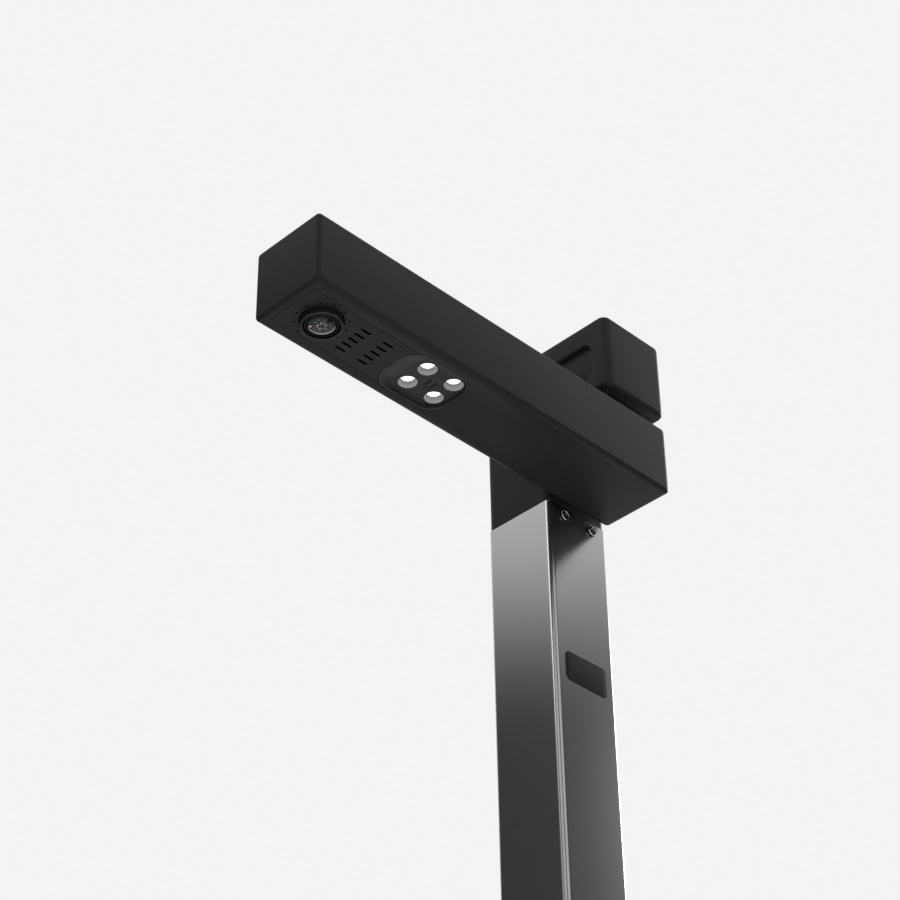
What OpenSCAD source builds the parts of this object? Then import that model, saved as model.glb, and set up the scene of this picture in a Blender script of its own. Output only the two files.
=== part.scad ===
// Overhead document scanner: a boxy camera head folds down beside a square column on a weighted base.
// Origin on the desk under the middle of the column. The head points to -Y and lies on the +X side.

/* [Head housing] */
// Length of the camera head
head_l = 251; // [240:1:270]
// Width of the camera head
head_w = 45; // [44:0.5:50]
// Height of the camera head
head_h = 42; // [41:0.5:45]
// Wall of the head housing
head_wall = 2; // [1.6:0.1:2.3]
// Radius along the long edges of the head
head_edge_r = 2.7; // [2:0.1:4]
// Radius of the edges round the head's front end
head_end_r = 2.2; // [1.6:0.1:3]
// Radius of the edges round the head's rear end
head_rear_r = 4.5; // [3:0.1:5]
// Height of the head's underside above the desk
reach_h = 345; // [320:5:380]
// Gap between the head and the column beside it
side_gap = 1.8; // [1.6:0.1:2.4]
// Width of the ledges that carry the inset covers
ledge_w = 1.5; // [1:0.1:2]
// Thickness of those ledges
ledge_t = 1.2; // [0.8:0.1:1.6]
// Seam left open round each inset cover
seam = 0.15; // [0.1:0.05:0.3]
// Distance from the head's outline to its top cover
top_inset = 6; // [5:0.5:8]

/* [Belly cover] */
// Width of the belly cover
belly_w = 30; // [29.5:0.1:31]
// Distance from the front end to the belly cover
belly_inset = 4.6; // [4:0.1:5]
// Distance from the front end to the first row of vents
vent_y = 43.3; // [42:0.1:46]
// Distance between the two rows of vents
vent_row_pitch = 14.45; // [12:0.05:15.5]
// Distance between neighbouring vents
vent_pitch = 4.5; // [4:0.1:5]
// Length of one vent
vent_l = 6.4; // [5:0.1:8]
// Width of one vent
vent_w = 1.3; // [0.8:0.1:1.6]
// Vents in one row
vent_count = 5; // [3:1:5]
// Diameter of the circle of pinholes round the lens
dot_ring_d = 26.6; // [26:0.1:27.4]
// Diameter of one pinhole
dot_d = 1.1; // [0.6:0.1:1.2]
// Number of pinholes
dot_count = 12; // [6:1:16]

/* [Lens] */
// Distance from the front end to the lens axis
lens_y = 23; // [21:0.5:25]
// Outer diameter of the lens collar
collar_d = 21; // [20:0.5:21.5]
// How far the collar stands out below the head
collar_drop = 3.1; // [2:0.1:4]
// Open ring between the collar and the belly cover
collar_gap = 1; // [0.6:0.1:1.2]
// Width of the dark groove inside the collar's rim
groove_w = 0.8; // [0.3:0.05:1]
// Width of the collar's rim
rim_w = 1.4; // [1.2:0.1:2]
// Diameter of the front glass
glass_d = 14.4; // [12:0.1:14.6]
// Radius of the front glass's dome
glass_dome_r = 28; // [20:1:40]
// Height of the lens holder above the collar's flange
holder_h = 15; // [13:0.5:17]
// Width of the square lens holder
holder_w = 24; // [22:0.5:28]

/* [Lamp tray] */
// Distance from the front end to the lamp tray
tray_y = 69; // [68:0.5:74]
// Length of the lamp tray along the head
tray_l = 43; // [41:0.5:46]
// Width of the lamp tray
tray_w = 32.4; // [32:0.1:34]
// Corner radius of the lamp tray
tray_r = 11; // [8:0.5:13]
// Thickness of the lamp tray
tray_h = 6; // [5.5:0.1:8]
// Width of the flat rim round the dish
tray_rim = 0.7; // [0.5:0.1:1]
// Depth of the dish
dish_depth = 2; // [1.5:0.1:2.4]
// Length of the ramp at the dish's front
ramp_l = 10; // [6:0.5:11]
// Diameter of a reflector cup at its mouth
cup_d = 9.8; // [8:0.1:11]
// Depth of a reflector cup
cup_depth = 3.1; // [2.5:0.1:3.4]
// Diameter of one lamp
lamp_d = 6.8; // [5:0.1:7]
// Distance between the cups across the head
cup_pitch_x = 14; // [12:0.5:15]
// Distance between the cups along the head
cup_pitch_y = 18; // [16:0.5:19]
// How far the cups sit behind the middle of the tray
cup_shift = 5; // [3:0.5:5.5]

/* [Hinge] */
// Radius of the hinge shaft
shaft_r = 7; // [6:0.5:7.5]
// Radius of the cable way through the shaft
shaft_bore_r = 3.5; // [3:0.1:4.5]
// Radial running clearance of the shaft in its bushes
run_gap = 0.05; // [0.02:0.01:0.08]
// Wall of a hinge bush
bush_wall = 2; // [1.5:0.1:2.5]
// Grease space between the two hinge bushes
bush_space = 5; // [3:0.5:8]
// Thickness of the carrier's side plate
carrier_plate_t = 5; // [4:0.5:7]
// Thickness of the friction washer
friction_t = 2; // [1.5:0.1:2.5]
// Thickness of one disc spring
disc_t = 0.8; // [0.6:0.1:1]
// Dishing of one disc spring
disc_rise = 0.5; // [0.3:0.1:0.6]
// Number of disc springs
disc_count = 3; // [2:1:3]
// Thickness of the hinge nut
nut_t = 5.5; // [5:0.5:6]
// Room between the hinge nut and the head's wall
nut_room = 2.2; // [1.5:0.1:4]
// Clearance between the swinging head and the cap above it
sweep_gap = 1.2; // [0.6:0.1:1.6]

/* [Column] */
// Width of the column across the head
col_w = 44.5; // [40:0.5:48]
// Depth of the column along the head
col_d = 45; // [44:0.5:50]
// Corner radius of the column
col_r = 4.8; // [3:0.1:5]
// Wall of the column tube
tube_wall = 2; // [1.6:0.1:2.4]
// How far the tube ends below the head's underside
tube_drop = 0.5; // [0.3:0.1:2]
// How deep the elbow core reaches into the tube
core_depth = 45; // [30:1:60]
// Wall of the elbow core
core_wall = 4; // [3:0.5:5]
// Distance from the tube's top to the column screws
col_screw_drop = 5.4; // [5:0.1:8]
// Distance between the two column screws of one side
col_screw_pitch = 21; // [16:0.5:24]
// Diameter of a column screw's head
screw_head_d = 5.8; // [5:0.1:6.5]
// Height of a column screw's head
screw_head_h = 1.1; // [0.8:0.1:1.3]
// Length of the dark pad on the column
pad_l = 30.8; // [26:0.2:34]
// Height of the dark pad
pad_h = 17.2; // [14:0.2:22]
// Corner radius of the dark pad
pad_r = 3.6; // [2:0.1:6]
// Thickness of the dark pad
pad_t = 0.5; // [0.3:0.1:0.8]
// Distance from the tube's top to the middle of the pad
pad_drop = 98; // [80:1:140]

/* [Cap] */
// Depth of the cap along the head
cap_d = 46; // [46:0.5:54]
// Height of the cap
cap_h = 47; // [44:0.1:52]
// Radius of the cap's edges
cap_r = 4.8; // [3.5:0.1:5.4]
// Radius of the cap's edges at its top and bottom
cap_edge_r = 2.3; // [2:0.1:4]
// Wall of the cap
cap_wall = 2.4; // [2:0.1:3]
// Distance from the cap's outline to its floor plate
floor_inset = 6; // [5.5:0.1:7]
// Length of the recess in the cap's front
recess_l = 68.7; // [60:0.1:72]
// Height of the recess in the cap's front
recess_h = 22.7; // [16:0.1:25]
// How far the recess sits below the cap's middle
recess_drop = 2; // [0:0.1:3]
// Corner radius of that recess
recess_r = 5.3; // [5:0.1:7.9]
// Thickness of the cap's front panel, floor plate and bracket
panel_t = 2; // [1.6:0.1:2.4]

/* [Base] */
// Width of the base
base_w = 150; // [142:1:180]
// Depth of the base
base_d = 136; // [130:1:170]
// Height of the base cover
base_h = 22; // [21:0.5:26]
// Corner radius of the base
base_r = 12; // [8:0.5:14]
// Radius of the base's top edge
base_edge_r = 3; // [2:0.1:4]
// Wall of the base cover
base_wall = 2.5; // [2:0.1:3]
// How far the base reaches behind the column's middle
base_back = 74; // [70:1:90]
// Thickness of the rubber sole
sole_t = 1.5; // [1:0.1:2.5]
// Distance from the base's outline to the rubber sole
sole_inset = 6; // [4:0.5:9]
// Thickness of the steel bottom plate
plate_t = 3; // [2.5:0.1:4]
// Thickness of the ballast block
ballast_t = 9; // [7:0.5:10]
// Thickness of the column foot's flange
foot_t = 6; // [5:0.5:8]
// How far the foot's flange reaches past the column
foot_flange = 11; // [10:0.5:12]
// How deep the foot reaches into the tube
foot_depth = 50; // [40:1:80]
// Diameter of the scan button
scan_button_d = 15; // [12:0.5:18]
// Diameter of the power button
power_button_d = 8; // [7:0.5:10]
// Travel of both buttons
button_travel = 0.8; // [0.5:0.1:1]
// How far the buttons stand out of the base
button_proud = 0.7; // [0.5:0.1:1]

/* [Hidden] */
$fn = 48;
// Overrun of every cut, and the small clearance of pieces fixed to each other
over = 1;
fit_gap = 0.1;
charcoal = "#2c2d2f";
dark = "#1c1d1f";
silver = "#b9bbbd";
steel = "#8d9093";
board_green = "#1f4a36";

// The head's place in the row frame
head_x0 = col_w / 2 + side_gap;
head_xc = head_x0 + head_w / 2;
head_x1 = head_x0 + head_w;
head_y1 = col_d / 2;
head_y0 = head_y1 - head_l;
head_top = head_h - head_wall;
inner_w = head_w - 2 * head_wall;

// The hinge axis is as far from the head's rear as from its top and bottom
hinge_y = head_y1 - head_h / 2;
hinge_z = reach_h + head_h / 2;
hinge_local_y = head_l - head_h / 2;
sweep_r = sqrt(2) * (head_h / 2 - head_rear_r) + head_rear_r;
bush_r = shaft_r + bush_wall;
shaft_collar_r = shaft_r + bush_wall;
washer_r = bush_r + 4 * disc_t;
disc_step = disc_t + disc_rise + fit_gap;
hinge_stack = friction_t + disc_count * disc_step + fit_gap + nut_t;
carrier_l = inner_w - nut_room - hinge_stack;
carrier_x1 = head_x0 + head_wall + carrier_l;
bush_l = (carrier_l - bush_space) / 2;
disc_x0 = carrier_x1 + friction_t;
nut_x0 = disc_x0 + disc_count * disc_step + fit_gap;
shaft_x1 = nut_x0 + nut_t;
carrier_gap = 0.5;
carrier_reach = 22;
carrier_y0 = hinge_local_y - carrier_reach;
carrier_screw_in = 5;
carrier_screw_spots = [for (sy = [-1, 1], sz = [-1, 1])
                       [hinge_local_y + sy * (head_h / 2 - head_wall - carrier_screw_in),
                        head_h / 2 + sz * (head_h / 2 - head_wall - carrier_screw_in)]];
boss_wall = 4;

// Circuit boards, fasteners and small cuts
board_t = 1.6;
chip_t = 1.2;
screw_r = 1.5;
screw_gap = 0.1;
socket_w = 0.9;
post_r = 3.2;
standoff_h = 4;

// Lens stack, measured upwards from the head's underside
cover_lip = 2;
cover_lip_w = 1.1;
flange_r = collar_d / 2 + collar_gap + cover_lip_w - fit_gap;
flange_t = 1.2;
flange_z = head_wall + cover_lip;
groove_r = collar_d / 2 - rim_w;
ring_r = groove_r - groove_w;
ring_set = 0.5;
groove_depth = 2;
glass_set = -0.2;
ring_lip = 0.7;
glass_apex = glass_set - collar_drop;
glass_sag = glass_dome_r - sqrt(glass_dome_r * glass_dome_r - glass_d * glass_d / 4);
glass_back = ring_set + groove_depth - collar_drop;
glass_edge = glass_back - glass_apex - glass_sag;
holder_z0 = flange_z + flange_t;
holder_z1 = holder_z0 + holder_h;
barrel_r = ring_r - ring_lip;
iris_r = 2.6;
iris_t = 0.8;
iris_z = holder_z0 + 1.4 * iris_t;
inner_lens_r = 5;
inner_lens_t = 2.4;
sensor_w = 12;
sensor_t = 1.8;

// Lamp tray places
tray_yc = tray_y + tray_l / 2;
tray_flange = 1.5;
lamp_t = 0.8;
lamp_gap = 0.15;
slot_l = 5;
slot_w = 0.8;
slot_pitch = 3.7;
sink_margin = 2.5;
sink_base_t = 2;
fin_h = 7;
fin_t = 1.1;
fin_count = 7;

// Chassis in the head
rail_z = 0.62 * head_h;
rail_w = 2.5;
rail_t = 2;
chassis_t = 1.2;
chassis_side = 6;
chassis_y0 = 12;
chassis_y1 = carrier_y0 - fit_gap;
chassis_z = rail_z + rail_t;
processor_share = 0.47;
processor_margin = 20;
processor_l = processor_share * (chassis_y1 - chassis_y0);
processor_y0 = chassis_y1 - processor_margin - processor_l;
processor_w = inner_w - 3 * rail_w;
processor_posts = [for (sx = [-1, 1], sy = [-1, 1])
                   [sx * (processor_w / 2 - post_r),
                       processor_y0 + processor_l / 2 + sy * (processor_l / 2 - post_r)]];
// Place and size of each chip, as shares of the board's width and length
chip_shares = [[0, 0.5, 0.4, 0.15], [-0.24, 0.25, 0.25, 0.13], [0.24, 0.25, 0.25, 0.13],
    [0, 0.75, 0.5, 0.09]];

// Elbow, column and cap
tube_top = reach_h - tube_drop;
col_screw_z = tube_top - col_screw_drop;
cap_z0 = hinge_z + sweep_r + sweep_gap;
cap_x0 = -col_w / 2;
cap_l = head_x1 - cap_x0;
cap_xc = (cap_x0 + head_x1) / 2;
cap_y1 = col_d / 2;
cap_y0 = cap_y1 - cap_d;
cap_yc = (cap_y0 + cap_y1) / 2;
bore_w = col_w - 2 * tube_wall;
bore_d = col_d - 2 * tube_wall;
bore_r = col_r - tube_wall;
core_w = bore_w - 2 * fit_gap;
core_d = bore_d - 2 * fit_gap;
neck_w = 0.7 * core_w;
neck_d = 0.62 * core_d;
neck_h = 8;
core_boss_r = shaft_r + boss_wall;
bracket_d = 0.5 * cap_d;
bracket_fold = 7;
cap_screw_x = [neck_w / 2 + floor_inset, head_x1 - 2.2 * floor_inset];

// Base
base_x0 = head_xc - head_w / 2 + side_gap - base_w / 2;
base_xc = base_x0 + base_w / 2;
base_y1 = base_back;
base_yc = base_y1 - base_d / 2;
plate_z1 = sole_t + plate_t;
base_top = sole_t + base_h;
roof_z = base_top - base_wall;
foot_w = col_w + 2 * foot_flange;
foot_d = col_d + 2 * foot_flange;
foot_wall = 4;
cable_way = 9;
boss_in = base_wall + post_r + 2 * base_edge_r;
base_screw_spots = [for (sx = [-1, 1], sy = [-1, 1])
                    [base_xc + sx * (base_w / 2 - boss_in), base_yc + sy * (base_d / 2 - boss_in)]];
foot_screw_in = foot_flange / 2;
foot_screw_spots = [for (sx = [-1, 1], sy = [-1, 1])
                    [sx * (foot_w / 2 - foot_screw_in), sy * (foot_d / 2 - foot_screw_in)]];
base_screw_l = 12;
foot_screw_l = plate_t + foot_t - fit_gap;
ballast_gap = 2;
ballast_x0 = foot_w / 2 + ballast_gap;
ballast_x1 = base_x0 + base_w - base_wall - 2 * ballast_gap;
ballast_y0 = base_y1 - base_d + boss_in + post_r + ballast_gap;
ballast_r = 5;
main_x = (ballast_x0 + ballast_x1) / 2;
main_w = 2 * (base_x0 + base_w - boss_in - post_r - ballast_gap - main_x);
main_d = 36;
main_y1 = base_y1 - base_wall - fit_gap;
main_z0 = plate_z1 + standoff_h;
main_post_in = 4;
main_posts = [for (sx = [-1, 1], sy = [-1, 1]) [main_x + sx * (main_w / 2 - main_post_in),
              main_y1 - main_d / 2 + sy * (main_d / 2 - main_post_in)]];
ballast_y1 = main_y1 - main_d - ballast_gap;
key_z0 = plate_z1 + ballast_t;
key_w = 40;
key_d = 22;
key_x = (ballast_x0 + ballast_x1) / 2;
key_y = ballast_y0 + key_d / 2 + ballast_gap;
scan_x = key_x - key_w / 5;
power_x = key_x + key_w / 3.6;
switch_w = 6;
switch_h = 3.2;
button_flange = 1.3;
button_flange_t = 1;
button_gap = 0.3;
stem_r = 1.8;
stem_gap = 0.1;
stem_z = key_z0 + board_t + switch_h + button_travel + stem_gap;
port_slot_w = 8.4;
port_slot_h = 3.3;
port_wall = 0.35;
port_w = port_slot_w + 2 * port_wall;
port_h = port_slot_h + 2 * port_wall;
port_l = 7.5;
port_set = 0.5;
port_back = 1;
port_tongue_t = 0.7;
port_tongue_w = 6.7;
port_x = main_x;
port_z = main_z0 + board_t + port_h / 2;

// Flat outlines
module round_rect(a, b, r) {
    square([a - 2 * r, b], center = true);
    square([a, b - 2 * r], center = true);
    for (sx = [-1, 1], sy = [-1, 1]) translate([sx * (a / 2 - r), sy * (b / 2 - r)]) circle(r);
}
module long_hole(l, w) {
    square([w, l - w], center = true);
    for (s = [-1, 1]) translate([0, s * (l - w) / 2]) circle(w / 2);
}

// A block with rounded edges: r is the radius of the edges along Z, along Y and along X
module soft_block(s, r) {
    intersection() {
        linear_extrude(s[2], center = true) round_rect(s[0], s[1], r[0]);
        rotate([90, 0, 0]) linear_extrude(s[1], center = true) round_rect(s[0], s[2], r[1]);
        rotate([90, 0, 90]) linear_extrude(s[0], center = true) round_rect(s[1], s[2], r[2]);
    }
}
module box(low, high) {
    translate(low) cube(high - low);
}
module slab(a, b, r, t) {
    linear_extrude(t) round_rect(a, b, r);
}
module frame(a, b, r, w, t) {
    difference() {
        slab(a, b, r, t);
        translate([0, 0, -over]) slab(a - 2 * w, b - 2 * w, r, t + 2 * over);
    }
}
module along_x(r, l) {
    rotate([0, 90, 0]) cylinder(r = r, h = l);
}

// The head's own frame: x across from its middle, y back from its front end, z up from its underside
module in_head() {
    translate([head_xc, head_y0, reach_h]) children();
}
module at_hinge(x) {
    translate([x, hinge_y, hinge_z]) children();
}
module in_cap() {
    translate([cap_xc, cap_yc, cap_z0]) children();
}

// Head housing and its covers
module belly_outline(grow) {
    l = tray_y + tray_r - belly_inset;
    translate([0, belly_inset + l / 2]) square([belly_w + 2 * grow, l + 2 * grow], center = true);
}
module tray_outline(grow) {
    translate([0, tray_yc]) round_rect(tray_w + 2 * grow, tray_l + 2 * grow, tray_r + grow);
}
// A bar along Y from 0 to l, with one corner radius at its start and another at its end
module bar(w, l, r0, r1) {
    translate([-w / 2, r0]) square([w, l - r0 - r1]);
    for (q = [[r0, 0, r0], [r1, l - r1, l - r1]]) {
        translate([-w / 2 + q[0], q[1]]) square([w - 2 * q[0], q[0]]);
        for (s = [-1, 1]) translate([s * (w / 2 - q[0]), q[2]]) circle(q[0]);
    }
}
module head_block() {
    intersection() {
        linear_extrude(head_h) bar(head_w, head_l, head_end_r, head_rear_r);
        translate([-head_w / 2, 0, head_h / 2]) rotate([0, 90, 0])
            linear_extrude(head_w) bar(head_h, head_l, head_end_r, head_rear_r);
        translate([0, head_l, head_h / 2]) rotate([90, 0, 0])
            linear_extrude(head_l) round_rect(head_w, head_h, head_edge_r);
    }
}
module head_shell() {
    top_w = head_w - 2 * top_inset;
    top_l = head_l - 2 * top_inset;
    ledge_l = tray_y - belly_inset - tray_flange - fit_gap;
    color(charcoal) in_head() difference() {
        union() {
            difference() {
                head_block();
                box([-inner_w / 2, head_wall, head_wall], [inner_w / 2, head_l - head_wall, head_top]);
            }
            // Ledges under the belly cover's edges and under the top cover's edges
            translate([0, belly_inset + ledge_l / 2, head_wall])
                frame(belly_w + 2 * ledge_w, ledge_l, ledge_w, 2 * ledge_w, ledge_t);
            translate([0, head_l / 2, head_top - ledge_t])
                frame(top_w + 2 * ledge_w, top_l + 2 * ledge_w, top_inset - head_wall, 2 * ledge_w,
                    ledge_t);
            // Rails that carry the chassis
            for (s = [-1, 1])
                box([s * inner_w / 2 - rail_w, chassis_y0, rail_z],
                    [s * inner_w / 2 + rail_w, chassis_y1, rail_z + rail_t]);
        }
        // Nothing of the rails shows outside
        for (s = [-1, 1])
            translate([s * (head_w / 2 + over), head_l / 2, head_h / 2])
                cube([2 * over, head_l, head_h], center = true);
        translate([0, 0, -over]) linear_extrude(head_wall + over) belly_outline(seam);
        translate([0, 0, -over]) linear_extrude(head_wall + ledge_t + 2 * over) tray_outline(seam);
        translate([0, head_l / 2, head_top])
            slab(top_w + 2 * seam, top_l + 2 * seam, top_inset / 2, head_wall + over);
        translate([-head_w / 2 - over, hinge_local_y, head_h / 2])
            along_x(bush_r + fit_gap, head_wall + 2 * over);
        for (p = carrier_screw_spots)
            translate([-head_w / 2 - over, p[0], p[1]]) along_x(screw_r + screw_gap, head_wall + 2 * over);
    }
}
module head_top_cover() {
    color(charcoal) in_head() translate([0, head_l / 2, head_top])
        slab(head_w - 2 * top_inset, head_l - 2 * top_inset, top_inset / 2, head_wall);
}
module belly_cover() {
    lip_r = collar_d / 2 + collar_gap;
    color(charcoal) in_head() difference() {
        union() {
            linear_extrude(head_wall) difference() {
                belly_outline(0);
                tray_outline(seam);
            }
            translate([0, lens_y, head_wall]) cylinder(r = lip_r + cover_lip_w, h = cover_lip);
        }
        translate([0, lens_y, -over]) cylinder(r = lip_r, h = head_wall + cover_lip + 2 * over);
        for (i = [0 : dot_count - 1]) rotate_about_lens((i + 0.5) * 360 / dot_count)
            translate([dot_ring_d / 2, 0, -over])
                cylinder(r = dot_d / 2, h = head_wall + cover_lip + 2 * over, $fn = 24);
        for (row = [0, 1], i = [0 : vent_count - 1])
            translate([(i - (vent_count - 1) / 2) * vent_pitch, vent_y + row * vent_row_pitch, -over])
                linear_extrude(head_wall + 2 * over) long_hole(vent_l, vent_w);
    }
}
module rotate_about_lens(a) {
    translate([0, lens_y, 0]) rotate([0, 0, a]) children();
}

// Lens and camera
module lens_collar() {
    r1 = collar_d / 2;
    round_r = rim_w / 4;
    color(dark) in_head() translate([0, lens_y, 0]) rotate_extrude() difference() {
        union() {
            translate([groove_r, -collar_drop + round_r])
                square([rim_w, collar_drop - round_r + holder_z0]);
            translate([groove_r, -collar_drop]) square([rim_w - round_r, round_r + fit_gap]);
            translate([r1 - round_r, -collar_drop + round_r]) circle(round_r);
            translate([groove_r, flange_z]) square([flange_r - groove_r, flange_t]);
            translate([barrel_r, -collar_drop + groove_depth + ring_set])
                square([groove_r - barrel_r + fit_gap, ledge_t]);
        }
        translate([-barrel_r, -collar_drop - over])
            square([2 * barrel_r, holder_z0 + collar_drop + 2 * over]);
    }
}
module lens_ring() {
    front = -collar_drop + ring_set;
    color("#26272a") in_head() translate([0, lens_y, 0]) rotate_extrude()
        polygon([[ring_r - ring_lip / 3, front], [ring_r, front + ring_lip / 3], [ring_r, glass_back],
                 [glass_d / 2 + fit_gap, glass_back], [glass_d / 2 + fit_gap, glass_apex + glass_sag],
                 [glass_d / 2 + ring_lip / 3, glass_apex + glass_sag - ring_lip / 2]]);
}
module front_glass() {
    color("#7f9aa2", 0.5) in_head() translate([0, lens_y, 0]) intersection() {
        translate([0, 0, glass_apex]) cylinder(d = glass_d, h = glass_sag + glass_edge);
        translate([0, 0, glass_apex + glass_dome_r]) sphere(glass_dome_r, $fn = 96);
    }
}
module iris_ring() {
    color("#161618") in_head() translate([0, lens_y, glass_back]) difference() {
        cylinder(r = barrel_r - fit_gap, h = iris_z + iris_t - glass_back);
        translate([0, 0, iris_t / 2]) cylinder(r1 = iris_r, r2 = inner_lens_r,
            h = iris_z + iris_t - glass_back);
        translate([0, 0, -over]) cylinder(r = iris_r, h = over + iris_t);
    }
}
module inner_lens() {
    z = iris_z + iris_t;
    color("#5f8f88", 0.6) in_head() translate([0, lens_y, z]) difference() {
        cylinder(r = barrel_r - fit_gap, h = inner_lens_t);
        translate([0, 0, inner_lens_t + glass_dome_r - glass_edge / 2]) sphere(glass_dome_r, $fn = 96);
    }
}
module lens_holder() {
    color(dark) in_head() translate([0, lens_y, holder_z0]) difference() {
        union() {
            slab(holder_w, holder_w, ledge_w, holder_h);
            for (s = [-1, 1]) translate([s * holder_w / 2, 0, holder_h - standoff_h])
                cylinder(r = post_r, h = standoff_h);
        }
        translate([0, 0, -over]) cylinder(r = barrel_r, h = holder_h - sensor_t + over);
        translate([0, 0, holder_h - sensor_t - over]) slab(sensor_w + 2 * fit_gap, sensor_w + 2 * fit_gap,
            fit_gap, sensor_t + 2 * over);
        for (s = [-1, 1]) translate([s * holder_w / 2, 0, holder_h - standoff_h - over])
            cylinder(r = screw_r, h = standoff_h + 2 * over);
    }
}
module image_sensor() {
    color("#3b3f47") in_head() translate([0, lens_y, holder_z1 - sensor_t])
        slab(sensor_w, sensor_w, fit_gap, sensor_t);
}
module camera_board() {
    w = inner_w - 2 * rail_w;
    color(board_green) in_head() translate([0, lens_y, holder_z1]) difference() {
        union() {
            slab(w, holder_w + 2 * post_r, ledge_w, board_t);
            translate([0, holder_w / 4, board_t]) slab(sensor_w, switch_w, fit_gap, chip_t);
            translate([0, -holder_w / 4, board_t]) slab(2 * sensor_w, switch_w / 2, fit_gap, 2 * chip_t);
        }
        for (s = [-1, 1]) translate([s * holder_w / 2, 0, -over])
            cylinder(r = screw_r, h = board_t + 2 * over);
    }
}

// Lamps
module each_cup() {
    for (sx = [-1, 1], sy = [-1, 1])
        translate([sx * cup_pitch_x / 2, tray_yc + cup_shift + sy * cup_pitch_y / 2, 0]) children();
}
module dish_profile() {
    y0 = tray_y + tray_rim;
    y1 = tray_y + tray_l - tray_rim;
    polygon([[y0, -over], [y0, 0], [y0 + ramp_l, dish_depth], [y1, dish_depth], [y1, -over]]);
}
module lamp_tray() {
    color(charcoal) in_head() difference() {
        union() {
            linear_extrude(tray_h) tray_outline(0);
            // The flange behind the housing's wall, clear of the belly cover's ledge
            translate([0, 0, head_wall]) linear_extrude(ledge_t) tray_outline(tray_flange);
        }
        intersection() {
            rotate([90, 0, 90]) linear_extrude(head_w, center = true) dish_profile();
            translate([0, 0, -over]) linear_extrude(tray_h) tray_outline(-tray_rim);
        }
        each_cup() {
            translate([0, 0, dish_depth]) cylinder(d1 = cup_d, d2 = lamp_d + 2 * lamp_gap, h = cup_depth);
            translate([0, 0, -over]) cylinder(d = lamp_d + 2 * lamp_gap, h = tray_h + 2 * over);
            cylinder(d = cup_d, h = dish_depth);
        }
        for (s = [-1, 1]) translate([0, tray_yc + cup_shift + s * slot_pitch / 2, -over])
            linear_extrude(tray_h + 2 * over) rotate([0, 0, 90]) long_hole(slot_l, slot_w);
    }
}
module lamps() {
    color("white") in_head() each_cup() translate([0, 0, tray_h - lamp_t]) cylinder(d = lamp_d, h = lamp_t);
}
module lamp_board() {
    color(board_green) in_head() translate([0, tray_yc, tray_h])
        slab(tray_w - 2 * tray_rim, tray_l - 2 * tray_rim, tray_r - tray_rim, board_t);
}
module lamp_heatsink() {
    w = tray_w - 2 * sink_margin;
    l = tray_l - 2 * sink_margin;
    color(silver) in_head() translate([0, tray_yc, tray_h + board_t]) {
        slab(w, l, tray_r - sink_margin, sink_base_t);
        intersection() {
            slab(w, l, tray_r - sink_margin, sink_base_t + fin_h);
            for (i = [0 : fin_count - 1])
                translate([-w / 2 + fin_t / 2 + i * (w - fin_t) / (fin_count - 1), 0,
                           (sink_base_t + fin_h) / 2])
                    cube([fin_t, l, sink_base_t + fin_h], center = true);
        }
    }
}

// Chassis and processor inside the head
module head_chassis() {
    w = inner_w - 2 * fit_gap;
    l = chassis_y1 - chassis_y0;
    window = l / 7;
    color(steel) in_head() difference() {
        union() {
            box([-w / 2, chassis_y0, chassis_z], [w / 2, chassis_y0 + l, chassis_z + chassis_t]);
            for (s = [-1, 1])
                box([s * (w - chassis_t) / 2 - chassis_t / 2, chassis_y0, chassis_z],
                    [s * (w - chassis_t) / 2 + chassis_t / 2, chassis_y0 + l, chassis_z + chassis_side]);
            for (p = processor_posts) translate([p[0], p[1], chassis_z])
                cylinder(r = post_r, h = standoff_h);
        }
        for (i = [0 : 4]) translate([0, chassis_y0 + (i + 1) * l / 6, chassis_z - over])
            linear_extrude(chassis_t + 2 * over) long_hole(window, w / 4);
        for (p = processor_posts) translate([p[0], p[1], chassis_z - over])
            cylinder(r = screw_r, h = standoff_h + 2 * over);
    }
}
module processor_board() {
    w = processor_w;
    l = processor_l;
    color(board_green) in_head() translate([0, processor_y0, chassis_z + standoff_h]) difference() {
        union() {
            translate([0, l / 2, 0]) slab(w, l, ledge_w, board_t);
            for (c = chip_shares) translate([c[0] * w, c[1] * l, board_t])
                slab(c[2] * w, c[3] * l, fit_gap, chip_t);
            translate([0, l - switch_w / 2, board_t]) slab(w / 2, switch_w / 2, fit_gap, 2 * chip_t);
        }
        for (p = processor_posts) translate([p[0], p[1] - processor_y0, -over])
            cylinder(r = screw_r, h = board_t + 2 * over);
    }
}

// Hinge
module hinge_carrier() {
    x0 = -inner_w / 2;
    y1 = head_l - head_wall - carrier_gap;
    z0 = head_wall + carrier_gap;
    z1 = head_top - ledge_t - carrier_gap;
    rib_t = carrier_plate_t / 2;
    color(steel) in_head() difference() {
        union() {
            box([x0, carrier_y0, z0], [x0 + carrier_plate_t, y1, z1]);
            translate([x0, hinge_local_y, head_h / 2]) along_x(bush_r + boss_wall, carrier_l);
            for (a = [0, 90]) intersection() {
                translate([x0, hinge_local_y, head_h / 2]) rotate([a, 0, 0])
                    rotate([90, 0, 0]) linear_extrude(rib_t, center = true)
                        polygon([[0, -head_h], [carrier_plate_t, -head_h], [carrier_l, 0],
                                 [carrier_plate_t, head_h], [0, head_h]]);
                box([x0, carrier_y0, z0], [x0 + carrier_l, y1, z1]);
            }
        }
        translate([x0 - over, hinge_local_y, head_h / 2])
            along_x(bush_r + fit_gap / 5, carrier_l + 2 * over);
        for (p = carrier_screw_spots) translate([x0 - over, p[0], p[1]])
            along_x(screw_r + screw_gap, carrier_plate_t + 2 * over);
    }
}
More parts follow.
